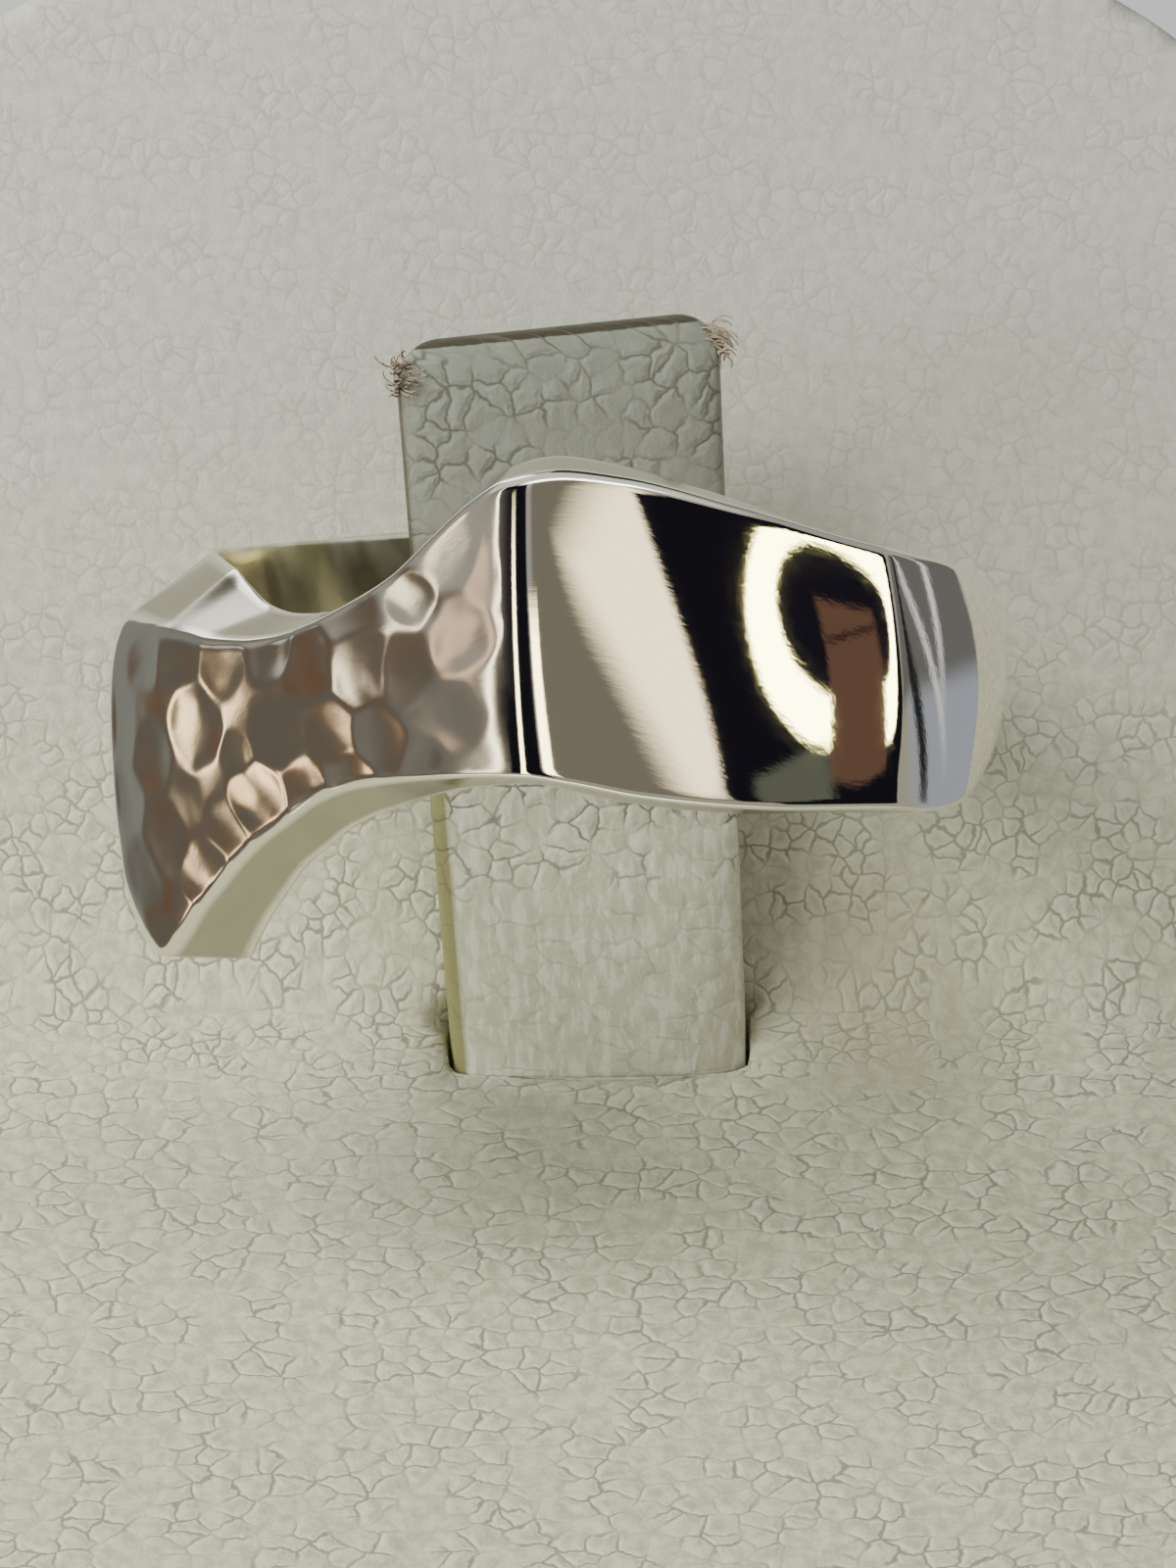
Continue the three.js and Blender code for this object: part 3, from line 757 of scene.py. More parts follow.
    depth = add(tree, "ShaderNodeMath", {0: deepest, 1: wanted["Dish depth"]}, operation="MULTIPLY")
    depth = add(tree, "ShaderNodeMath", {0: depth, 1: hammered}, operation="MULTIPLY")
    offset = add(tree, "ShaderNodeVectorMath", {0: inward, "Scale": depth}, operation="SCALE")
    struck = add(tree, "GeometryNodeSetPosition", {
        "Geometry": finish.outputs["Geometry"], "Offset": offset,
    })
    struck = add(tree, "GeometryNodeRealizeInstances", {"Geometry": struck})
    struck = add(tree, "GeometryNodeSetMaterial", {
        "Geometry": struck, "Material": wanted["Finish"],
    })
    tree.links.new(struck, result.inputs["Geometry"])
    return tree


# %% Strike the ring
run_tree(ring, hammer_tree(), {
    "Marks": marks,
    "Dish size": 1.0,
    "Dish depth": 0.9,
    "Rim softness": 0.04 * MM,
    "Unevenness": 0.5 * MM,
    "Small marks": 0.25 / MM ** 2,
    "Small size": 0.3 * MM,
    "Seed": 7,
    "Finish": silver,
})
ring = baked(ring, "ring_body")
bpy.data.objects.remove(marks)
dish = np.zeros(len(ring.data.vertices))
ring.data.attributes["dish"].data.foreach_get("value", dish)
print("ring:", triangles(ring), "triangles, deepest dish", round(dish.max() / MM, 3), "mm")

# %% [markdown]
# ## Crackled leatherette
# The stand is covered in leatherette, a thin vinyl skin on cotton cloth. The skin was embossed and
# has crazed into small plates with fine grooves between them: small and faint on the panel, and
# larger, with long broken cracks, on the foot and in the hollow. Dust sits in the grooves and
# darkens them. The rims beside the grooves are painted lighter, a painted highlight where light
# catches the plates' edges. The pattern follows the skin, so it reads the piece's own UV map, which
# is laid out in millimetres. A Voronoi pattern gives plates of a real size, and noise bends the
# grooves and breaks them up, so that no plate is ringed all the way.

# %% Sizes of the crackle, in millimetres
SKIN_MAP = "skin"
GROOVE_WIDTH = 0.065
GROOVE_FLOOR = 0.2 * GROOVE_WIDTH
RIM_WIDTH = 0.24
SKIN_RELIEF = 0.034
PLATE_STRETCH = (0.86, 1.16, 1.0)
SKIN_NOISE = {
    # size, detail, shift
    "bend": (0.55, 2.0, 0.0),
    "breaks": (1.4, 1.0, 3.0),
    "mottle": (0.45, 4.0, 5.0),
    "grain": (0.1, 1.0, 0.0),
}
BEND = 0.4
BREAKS = (0.35, 0.62)
WEAKEST_GROOVE = 0.22
MOTTLE = (0.3, 0.7)
RIM_HIGHLIGHT_SHARE = 0.6
DUST_SHARE = 0.85
GRAIN_SHARE = 0.3
VINYL_ROUGHNESS = 0.55
VINYL_IOR = 1.5


# %% Patterns of the crackle
def skin_noise(tree, place):
    """The outputs of each noise in the table, by its name."""
    noise = {}
    for use, (size, detail, shift) in SKIN_NOISE.items():
        moved = add(tree, "ShaderNodeMapping", {"Vector": place, "Location": (shift, 0.0, 0.0)})
        noise[use] = add(tree, "ShaderNodeTexNoise", {
            "Vector": moved, "Scale": 1 / size, "Detail": detail,
        }, output=None, noise_dimensions="2D").outputs
    return noise


def groove_distance(tree, place, noise, plates):
    """How far a point lies from the nearest groove, for each plate size and stretch. The noise
    bends the grooves."""
    shift = add(tree, "ShaderNodeVectorMath", {0: noise, 1: (0.5, 0.5, 0.5)}, operation="SUBTRACT")
    shift = add(tree, "ShaderNodeVectorMath", {0: shift, "Scale": BEND}, operation="SCALE")
    bent = add(tree, "ShaderNodeVectorMath", {0: place, 1: shift}, operation="ADD")
    distances = []
    for size, stretch in plates:
        stretched = add(tree, "ShaderNodeMapping", {"Vector": bent, "Scale": stretch})
        edge = add(tree, "ShaderNodeTexVoronoi", {"Vector": stretched, "Scale": 1 / size},
                   output="Distance", feature="DISTANCE_TO_EDGE", voronoi_dimensions="2D")
        distances.append(add(tree, "ShaderNodeMath", {0: edge, 1: size}, operation="MULTIPLY"))
    return distances


# %% Leatherette material
def make_leatherette(name, skin, shade, groove, rim, plates, changes, fades, faintest, wear):
    """Vinyl leatherette whose plates shrink from the first to the second size between the two
    heights in changes, and whose grooves grow faint between those in fades, all in millimetres up
    the skin. The colours are the skin, its mottling, its grooves and the painted highlight on the
    rims beside them. The function wear paints what use has left on the skin, and painted light and
    shade as well."""
    material, tree = new_material(name)
    place = add(tree, "ShaderNodeUVMap", uv_map=SKIN_MAP)
    along = add(tree, "ShaderNodeSeparateXYZ", {"Vector": place}, output="Y")
    noise = skin_noise(tree, place)
    wide_edge, fine_edge = groove_distance(tree, place, noise["bend"]["Color"], (
        (plates[0], PLATE_STRETCH),
        (plates[1], (1.0, 1.0, 1.0)),
    ))
    finer, unbroken, faded = (
        add(tree, "ShaderNodeMapRange", {
            "Value": value, "From Min": start, "From Max": end, "To Min": low, "To Max": high,
        }, interpolation_type="SMOOTHSTEP")
        for value, (start, end), (low, high) in (
            (along, changes, (0.0, 1.0)),
            (noise["breaks"][0], BREAKS, (WEAKEST_GROOVE, 1.0)),
            (along, fades, (1.0, faintest)),
        )
    )
    edge = add(tree, "ShaderNodeMix", {"Factor": finer, "A": wide_edge, "B": fine_edge},
               output="Result")
    strength = add(tree, "ShaderNodeMath", {0: unbroken, 1: faded}, operation="MULTIPLY")
    beside_groove = []
    for start, end, low, high in (
        (GROOVE_FLOOR, GROOVE_WIDTH, DUST_SHARE, 0.0),
        (GROOVE_WIDTH, RIM_WIDTH, RIM_HIGHLIGHT_SHARE, 0.0),
        (0.0, RIM_WIDTH, 0.0, 1.0),
    ):
        share = add(tree, "ShaderNodeMapRange", {
            "Value": edge, "From Min": start, "From Max": end, "To Min": low, "To Max": high,
        }, interpolation_type="SMOOTHSTEP")
        share = add(tree, "ShaderNodeMath", {0: share, 1: strength}, operation="MULTIPLY")
        beside_groove.append(share)
    in_groove, rim_highlight, relief = beside_groove
    colour = coat(tree, linear(skin), noise["mottle"][0], MOTTLE, (0.0, 1.0), linear(shade))
    # Painted highlight: the rims beside the grooves are painted lighter, as light would catch them.
    colour = add(tree, "ShaderNodeMix", {"Factor": rim_highlight, "A": colour, "B": linear(rim)},
                 output="Result", data_type="RGBA")
    colour = wear(tree, colour, place, along)
    colour = add(tree, "ShaderNodeMix", {"Factor": in_groove, "A": colour, "B": linear(groove)},
                 output="Result", data_type="RGBA")
    relief = add(tree, "ShaderNodeMath", {0: noise["grain"][0], 1: GRAIN_SHARE, 2: relief},
                 operation="MULTIPLY_ADD")
    normal = add(tree, "ShaderNodeBump", {
        "Height": relief, "Strength": 1.0, "Distance": SKIN_RELIEF * MM,
    }, output="Normal")
    surface = add(tree, "ShaderNodeBsdfPrincipled", {
        "Base Color": colour,
        "Roughness": VINYL_ROUGHNESS,
        "Normal": normal,
        "IOR": VINYL_IOR,
    })
    add(tree, "ShaderNodeOutputMaterial", {"Surface": surface}, output=None)
    return material


# %% The stand's leatherette
# Painted light: from 2 mm up the panel is tinted greyer and cooler, for the cooler light that falls
# on it.
PANEL_LIGHT_TINT = "BDBCBC"
PANEL_LIGHT_TINT_SHARE = 0.6
PANEL_STARTS = (2, 18)
# Spots painted darker: painted shade in the hollow, and right of the tongue painted shadow of the
# ring and tongue with some grime.
SHADE_AND_SOIL_SPOTS = (
    # middle, reach, fades from and to, share, colour
    ((-4.5, -4.4), (14, 4.8), (0.2, 1.3), 0.38, "90958C"),
    ((8.5, 1.5), (5, 6), (0.2, 1.2), 0.6, "86836C"),
)


def shade_and_soil_stand(tree, colour, place, along):
    """The panel is painted greyer and cooler from 2 mm up, a painted tint of the light on it. The
    hollow in front of the tongue is painted darker as painted shade, and the skin right of the
    tongue is painted darker too, partly painted shadow of the ring and tongue and partly grime
    where fingers reach for the ring."""
    colour = coat(tree, colour, along, PANEL_STARTS, (0.0, PANEL_LIGHT_TINT_SHARE), linear(PANEL_LIGHT_TINT))
    for middle, reach, span, share, tint in SHADE_AND_SOIL_SPOTS:
        spot = add(tree, "ShaderNodeMapping", {
            "Vector": place, "Location": (*middle, 0), "Scale": (*reach, 1),
        }, vector_type="TEXTURE")
        distance = add(tree, "ShaderNodeVectorMath", {0: spot}, output="Value",
                       operation="LENGTH")
        colour = coat(tree, colour, distance, span, (share, 0.0), linear(tint))
    return colour


stand_skin = make_leatherette(
    "crackled vinyl leatherette", skin="D1D1B7", shade="B5B59B", groove="7D7B68", rim="DADAC6",
    plates=(0.72, 0.52), changes=(-0.6, -0.2), fades=(4, 16), faintest=0.32, wear=shade_and_soil_stand,
)
print("finish:", stand_skin.name, "with", len(stand_skin.node_tree.nodes), "nodes")

# %% [markdown]
# ## The stand
# A rigid block with the leatherette pulled round it. The CAD solid has the right form, but its
# edges are sharp where leatherette would round them. A voxel remesh and a little smoothing pull a
# tight skin over the same block.

# %% Stand
SKIN_VOXEL = 0.3
SKIN_PASSES = 10


def merged_copy(node, name):
    """A CAD node's mesh as a new object, with its loose triangles joined."""
    copy = bpy.data.objects.new(name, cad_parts[node].data.copy())
    bpy.context.scene.collection.objects.link(copy)
    shape = bmesh.new()
    shape.from_mesh(copy.data)
    bmesh.ops.remove_doubles(shape, verts=shape.verts, dist=0.001 * MM)
    shape.to_mesh(copy.data)
    shape.free()
    return copy


def dress(piece, material):
    """Gives a piece one material all over."""
    piece.data.materials.clear()
    piece.data.materials.append(material)


stand = merged_copy("stand", "stand_block")
skin = stand.modifiers.new("skin", "REMESH")
skin.mode = "VOXEL"
skin.voxel_size = SKIN_VOXEL * MM
skin.use_smooth_shade = True
pull = stand.modifiers.new("pull", "SMOOTH")
pull.iterations = SKIN_PASSES
stand = baked(stand, "stand_body")
dress(stand, stand_skin)
print("stand:", triangles(stand), "triangles")

# %% [markdown]
# ## The stand's skin map
# The leatherette was cut and folded, so its pattern runs on from the foot through the hollow and
# up the panel, and it starts anew on the sides, the back and the underside. Each face of the mesh
# picks its sheet by the way it looks. All maps are in millimetres.

# %% Skin map
FACING = 0.75
SHEET_STEP = 60


def put_skin_map(piece, coordinates):
    layer = piece.data.uv_layers.new(name=SKIN_MAP)
    layer.data.foreach_set("uv", np.asarray(coordinates, np.float32).ravel())


def map_stand():
    mesh = stand.data
    corner = np.zeros(len(mesh.loops), int)
    mesh.loops.foreach_get("vertex_index", corner)
    points = np.zeros(len(mesh.vertices) * 3)
    mesh.vertices.foreach_get("co", points)
    normals = np.zeros(len(mesh.polygons) * 3)
    mesh.polygons.foreach_get("normal", normals)
    sizes = np.zeros(len(mesh.polygons), int)
    mesh.polygons.foreach_get("loop_total", sizes)
    x, y, z = ((points.reshape(-1, 3)[corner] - np.array(valley)) / MM).T
    facing = np.repeat(normals.reshape(-1, 3), sizes, axis=0)
    front = np.column_stack([x, z / math.cos(lean) - np.maximum(-y, 0)])
    side = np.column_stack([y + SHEET_STEP, z])
    under = np.column_stack([x, y - 2 * SHEET_STEP])
    back = np.column_stack([x, 2 * SHEET_STEP - z])
    is_side = np.abs(facing[:, :1]) > FACING
    is_under = facing[:, 2:] < -FACING
    is_back = facing[:, 1:2] > FACING
    chosen = np.where(is_side, side, np.where(is_under, under, np.where(is_back, back, front)))
    put_skin_map(stand, chosen)


map_stand()

# %% [markdown]
# ## The tongue
# A flat strip of card that is covered like the stand. It springs out of a slot in the hollow
# corner and leans forward behind the ring. Its front is padded, most of all near the slot, so its
# edges roll over. The card shows raw along the left edge and at the worn top end. The strip
# follows a path and has one kind of section all along, so it is lofted from a loop of points.

# %% Tongue sizes, in millimetres
TONGUE_THICKNESS = 1.0
TONGUE_WIDTH_LOW = 7.8
TONGUE_WIDTH_HIGH = 8.3
TONGUE_PATH = table("height back", [
    (-16.8, 11.4),
    (-12.6, 10.25),
    (-8.0, 8.9),
    (-2.0, 7.3),
    (3.0, 6.2),
    (7.6, 5.3),
])
PAD_LOW = 0.85
PAD_HIGH = 0.16
PAD_SHARES = (0.6, 0.4)
END_SLOPE = 0.045
END_ROUND = 1.1
END_THINNING = 0.7
FRONT_EDGE_POWER = 7
BACK_EDGE_POWER = 9
TONGUE_ROWS = 230
END_ROWS = 13
FRONT_POINTS = 90
BACK_POINTS = 24

tongue_back = curve_through(TONGUE_PATH["height"], TONGUE_PATH["back"])
foot_height, top_height = TONGUE_PATH["height"][[0, -1]]


# %% Tongue section
def up_share(height):
    return np.clip((height - foot_height) / (top_height - foot_height), 0, 1)


def tongue_width(height):
    return TONGUE_WIDTH_LOW + (TONGUE_WIDTH_HIGH - TONGUE_WIDTH_LOW) * up_share(height)


def superround(x, power):
    """1 in the middle, falling to 0 at x = -1 and 1. A higher power keeps the middle flatter."""
    return (1 - np.abs(x) ** power) ** (1 / power)


def padding(height, x):
    """How thick the padding is, from the left edge, x = -1, to the right edge, x = 1."""
    thick = PAD_LOW + (PAD_HIGH - PAD_LOW) * up_share(height)
    return thick * (PAD_SHARES[0] * (1 - x ** 2) + PAD_SHARES[1] * superround(x, 2))


def tongue_loops():
    """A loop of points at each height: along the front, and back along the rear."""
    up = np.linspace(0, 1, TONGUE_ROWS)
    near_end = top_height - END_ROUND
    straight_rows = foot_height + up * (near_end - foot_height)
    turn = np.linspace(0, math.pi / 2, END_ROWS + 1)[1:]
    heights = np.append(straight_rows, near_end + END_ROUND * np.sin(turn))
    taper = np.append(np.zeros(len(up)), END_ROUND * (1 - np.cos(turn)))
    half = tongue_width(heights) / 2 - taper
    right = np.linspace(-1, 1, FRONT_POINTS)
    left = np.linspace(1, -1, BACK_POINTS)
    across = 0.25 * np.sin(right * math.pi / 2) + 0.75 * right
    front_edge = (1 + superround(right, FRONT_EDGE_POWER)) / 2
    back_edge = TONGUE_THICKNESS / 2 * (1 - superround(left, BACK_EDGE_POWER))
    loops = []
    for height, side, cut in zip(heights, half, taper):
        back = tongue_back(height)
        thin = TONGUE_THICKNESS / 2 * (cut / END_ROUND) ** 4 * END_THINNING
        front_line = back - (TONGUE_THICKNESS - thin) * front_edge - padding(height, right)
        front_line = np.stack([side * across, front_line], -1)
        back_line = np.stack([side * left, back - thin - back_edge], -1)
        loop = np.concatenate([front_line[::-1], back_line[::-1][1:-1]])
        z = height + END_SLOPE * loop[:, 0] * smooth_step(0, 1, up_share(height))
        loops.append(np.column_stack([loop, z]))
    return np.array(loops)


# %% Tongue mesh
RAW_STRIP_LOW = 0.42
RAW_STRIP_HIGH = 0.12
RAW_STRIP_NARROWS = (-5, -2)
RAW_BLUR = 0.06
WORN_END = 0.17
WORN_BLUR = 0.08

tongue_points = tongue_loops()
tongue = loft("tongue_body", placed(tongue_points), closed=False)
from_left = tongue_points[..., 0] + tongue_width(tongue_points[..., 2]) / 2
narrowing = smooth_step(*RAW_STRIP_NARROWS, tongue_points[..., 2])
raw_strip = RAW_STRIP_LOW + (RAW_STRIP_HIGH - RAW_STRIP_LOW) * narrowing
below_end = top_height + END_SLOPE * tongue_points[..., 0] - tongue_points[..., 2]
is_raw = smooth_step(RAW_BLUR, -RAW_BLUR, from_left - raw_strip)
is_worn = smooth_step(WORN_END + WORN_BLUR, WORN_END - WORN_BLUR, below_end)
put_attribute(tongue, "raw", is_raw.ravel())
put_attribute(tongue, "worn", is_worn.ravel())


def map_tongue():
    """Across the strip and round its edges in one direction, and along it in the other."""
    step = np.diff(tongue_points, axis=1, append=tongue_points[:, :1])
    across = np.cumsum(np.linalg.norm(step, axis=-1), axis=1)
    across = np.column_stack([np.zeros(len(across)), across])
    along = np.broadcast_to(tongue_points[:, :1, 2], across.shape)
    grid = np.stack([across, along], -1)
    quads = np.stack([grid[:-1, :-1], grid[1:, :-1], grid[1:, 1:], grid[:-1, 1:]], 2)
    ends = [tongue_points[0, :, :2], tongue_points[-1, ::-1, :2]]
    put_skin_map(tongue, np.concatenate([quads.reshape(-1, 2), *ends]))


map_tongue()
print("tongue:", triangles(tongue), "triangles")

# %% The tongue's leatherette
WRINKLE_SPACING = 0.26
WRINKLE_STRETCH = (1.0, 0.28, 1.0)
FLUFF_SIZE = 0.25
RAW_CARD = "BDBB98"
# The raw card turns olive above the slot; from 5 mm below the ring's middle up it is painted near
# black, as painted shade along the tongue's left edge.
CARD_TONE_AND_SHADE = (((-15.5, -12), "85835A"), ((-5, -2), "4B483C"))


def wear_and_shade_tongue(tree, colour, place, along):
    """Fine wrinkles along the lower part are painted as lighter and darker streaks, a painted
    highlight and shade. The upper part is painted darker as painted shade, the top end has frayed,
    and the raw card shows olive along the left edge and is painted near black higher up as shade."""
    is_raw, is_worn = (
        add(tree, "ShaderNodeAttribute", output="Fac", attribute_name=name)
        for name in ("raw", "worn")
    )
    lengthways = add(tree, "ShaderNodeMapping", {"Vector": place, "Scale": WRINKLE_STRETCH})
    wrinkles = add(tree, "ShaderNodeTexNoise", {
        "Vector": lengthways, "Scale": 1 / WRINKLE_SPACING, "Detail": 2.0,
    }, noise_dimensions="2D")
    fluff = add(tree, "ShaderNodeTexNoise", {
        "Vector": place, "Scale": 1 / FLUFF_SIZE, "Detail": 2.0,
    }, noise_dimensions="2D")
    frayed = add(tree, "ShaderNodeMath", {0: fluff, 1: 0.5, 2: is_worn}, operation="MULTIPLY_ADD")
    for value, span, share, tint in (
        # Painted highlight and shade: the wrinkles have no relief, so their ridges are painted
        # lighter and their troughs darker.
        (wrinkles, (0.5, 0.62), 0.5, "EAE8DA"),
        (wrinkles, (0.46, 0.36), 0.35, "B9B7A2"),
        # Painted shade: the upper part of the tongue is painted darker, for the shade that falls on
        # it.
        (along, (-7, 0), 0.86, "757974"),
        (frayed, (0.45, 0.75), 1.0, "39352A"),
    ):
        colour = coat(tree, colour, value, span, (0.0, share), linear(tint))
    card = linear(RAW_CARD)
    for span, tint in CARD_TONE_AND_SHADE:
        card = coat(tree, card, along, span, (0.0, 1.0), linear(tint))
    return add(tree, "ShaderNodeMix", {"Factor": is_raw, "A": colour, "B": card},
               output="Result", data_type="RGBA")


tongue_skin = make_leatherette(
    "worn vinyl leatherette", skin="CCCBB4", shade="BEBDA6", groove="56574C", rim="D8D7C3",
    plates=(0.85, 0.72), changes=(-8, -7), fades=(-5, -9), faintest=0.3, wear=wear_and_shade_tongue,
)
dress(tongue, tongue_skin)
print("finish:", tongue_skin.name, "with", len(tongue_skin.node_tree.nodes), "nodes")

# %% [markdown]
# ## The slot's lips
# The leatherette is tucked in tight round the tongue, so the slot shows only as a thin dark line.
# Every point of the stand near the tongue moves toward it, most of all close to it, and stops just
# short of it. A point that the tongue's padding would cover moves out in front of it.

# %% Close the slot round the tongue
LIP_GAP = 0.08
LIP_PULL = 0.34
LIP_NEAR = 0.45
LIP_FAR = 1.5
LIP_BELOW = 0.2
LIP_ABOVE = 5.5


def tongue_distance(points):
    """How far ring-frame points lie outside the tongue's section, and the way out, in a plane."""
    height = points[:, 2]
    half = tongue_width(height) / 2
    t = np.clip(points[:, 0] / half, -1, 1)
    front = tongue_back(height) - TONGUE_THICKNESS - padding(height, t)
    middle = (front + tongue_back(height)) / 2
    thick = (tongue_back(height) - front) / 2
    aside = np.abs(points[:, 0]) - half
    deep = np.abs(points[:, 1] - middle) - thick
    away = np.column_stack([np.maximum(aside, 0), np.maximum(deep, 0)])
    outside = np.linalg.norm(away, axis=1)
    distance = np.where(outside > 0, outside, np.maximum(aside, deep))
    flat = np.where((aside > deep)[:, None], [[1.0, 0.0]], [[0.0, 1.0]])
    way = np.where(outside[:, None] > 0, away / np.maximum(outside, 1e-9)[:, None], flat)
    way[:, 0] *= np.sign(points[:, 0])
    way[:, 1] *= np.sign(points[:, 1] - middle)
    return distance, way


def close_slot():
    """Moves the lips and gives back how far the furthest point went."""
    mesh = stand.data
    points = np.zeros(len(mesh.vertices) * 3)
    mesh.vertices.foreach_get("co", points)
    points = (points.reshape(-1, 3) - CENTRE) @ TURN / MM
    above_foot = points[:, 2] - foot_height
    near = (above_foot > -LIP_BELOW) & (above_foot < LIP_ABOVE)
    near &= np.abs(points[:, 0]) < TONGUE_WIDTH_LOW
    distance, way = tongue_distance(points)
    closer = distance - LIP_PULL * smooth_step(LIP_FAR, LIP_NEAR, distance)
    shift = np.where(near & (distance < LIP_FAR), np.maximum(closer, LIP_GAP) - distance, 0)
    points[:, :2] += way * shift[:, None]
    mesh.vertices.foreach_set("co", placed(points).ravel())
    mesh.update()
    return np.abs(shift).max()


print("lips moved by up to", round(close_slot(), 2), "mm")

# %% [markdown]
# ## Frayed threads
# The cotton backing of the leatherette has frayed at both top corners of the tongue. Geometry
# Nodes scatter short bent threads over two small patches at the corners, each turned and scaled
# at random, and give them a thin three-sided section, which is all that such a thin thread needs.

# %% Geometry Nodes: frayed threads
THREAD_BEND = ((0, 0, 0), (0.2, 0.1, 0.7), (0.75, -0.1, 0.6))
THREAD_SPREAD = (0.8, 0.8, 0.9)
THREAD_SIZES = (0.45, 1.1)
THREAD_SIDES = 3


def thread_tree():
    tree, given, result = new_tree("Frayed threads", [
        ("Threads", "Float"),
        ("Length", "Float"),
        ("Thickness", "Float"),
        ("Seed", "Int"),
        ("Finish", "Material"),
    ])
    wanted = given.outputs
    roots = add(tree, "GeometryNodeDistributePointsOnFaces", {
        "Mesh": wanted["Geometry"], "Density": wanted["Threads"], "Seed": wanted["Seed"],
    })
    start, middle, end = THREAD_BEND
    thread = add(tree, "GeometryNodeCurveQuadraticBezier", {
        "Resolution": 6, "Start": start, "Middle": middle, "End": end,
    })
    way = add(tree, "GeometryNodeInputNamedAttribute", {"Name": "way"}, data_type="FLOAT_VECTOR")
    spread = add(tree, "FunctionNodeRandomValue", {
        "Min": tuple(-s for s in THREAD_SPREAD), "Max": THREAD_SPREAD, "Seed": wanted["Seed"],
    }, data_type="FLOAT_VECTOR")
    way = add(tree, "ShaderNodeVectorMath", {0: way, 1: spread}, operation="ADD")
    turned = add(tree, "FunctionNodeAlignRotationToVector", {"Vector": way}, axis="Z")
    size = add(tree, "FunctionNodeRandomValue", {
        "Min": THREAD_SIZES[0], "Max": THREAD_SIZES[1], "Seed": wanted["Seed"],
    }, output="Value", data_type="FLOAT")
    size = add(tree, "ShaderNodeMath", {0: size, 1: wanted["Length"]}, operation="MULTIPLY")
    threads = add(tree, "GeometryNodeInstanceOnPoints", {
        "Points": roots, "Instance": thread, "Rotation": turned, "Scale": size,
    })
    threads = add(tree, "GeometryNodeRealizeInstances", {"Geometry": threads})
    outline = add(tree, "GeometryNodeCurvePrimitiveCircle", {
        "Resolution": THREAD_SIDES, "Radius": wanted["Thickness"],
    })
    threads = add(tree, "GeometryNodeCurveToMesh", {
        "Curve": threads, "Profile Curve": outline, "Fill Caps": True,
    })
    threads = add(tree, "GeometryNodeSetMaterial", {
        "Geometry": threads, "Material": wanted["Finish"],
    })
    tree.links.new(threads, result.inputs["Geometry"])
    return tree


# %% Cotton
COTTON_SHADE = "7E7263"
COTTON = "C4B2A0"
COTTON_MOTTLE = 0.4


def make_cotton():
    """Woven cotton, greyed by dust and quite matte, lighter and darker from thread to thread."""
    material, tree = new_material("frayed cotton backing")
    place = add(tree, "ShaderNodeTexCoord", output="Object")
    tone = add(tree, "ShaderNodeTexNoise", {"Vector": place, "Scale": 1 / (COTTON_MOTTLE * MM)})
    colour = add(tree, "ShaderNodeMix", {
        "Factor": tone, "A": linear(COTTON_SHADE), "B": linear(COTTON),
    }, output="Result", data_type="RGBA")
    surface = add(tree, "ShaderNodeBsdfPrincipled", {"Base Color": colour, "Roughness": 0.9})
    add(tree, "ShaderNodeOutputMaterial", {"Surface": surface}, output=None)
    return material


# %% Fray both corners
FRAY_REACH = 0.75
FRAY_DEPTH = 0.9
FRAY_CORNERS = table("side height back drop", [
    (-1, 6.75, 5.45, 0.9),
    (1, 7.3, 5.35, 0.7),
])


def fray_patches():
    """One small square of roots at each corner, with the way that its threads point."""
    corners, ways = [], []
    for side, height, back, drop in zip(*FRAY_CORNERS.values()):
        edge = side * tongue_width(height) / 2
        for across, up in ((-FRAY_REACH, 0), (0, -drop), (0, 0.1), (-FRAY_REACH / 2, 0.25)):
            corners.append((edge + side * across, back - FRAY_DEPTH, height + up))
            ways.append((side * 1.0, -0.35, -0.1))
    patches = new_piece("fray_patches", placed(corners), [(0, 1, 2, 3), (4, 5, 6, 7)])
    put_attribute(patches, "way", np.array(ways) @ TURN.T)
    return patches


threads = fray_patches()
run_tree(threads, thread_tree(), {
    "Threads": 170 / MM ** 2,
    "Length": 0.6 * MM,
    "Thickness": 0.026 * MM,
    "Seed": 3,
    "Finish": make_cotton(),
})
threads = baked(threads, "tongue_threads")
print("threads:", triangles(threads), "triangles")

# %% [markdown]
# ## The room round the silver
# Polished silver shows hardly any colour of its own: its looks are the room round it. So the
# room is built with care, from a plain grey studio with cards, cloths and lamps hung round the
# ring. Each card is placed by its direction from the ring, and a later card hangs in front of an
# earlier one. The flat faces each mirror a wide part of the room, and each shallow dish on the
# hammered face only a small one, so the small lamps there hang just where a dish looks. Only
# mirrored light sees the cards: the stand sees a soft, even light, and the camera sees a plain
# pale backdrop.

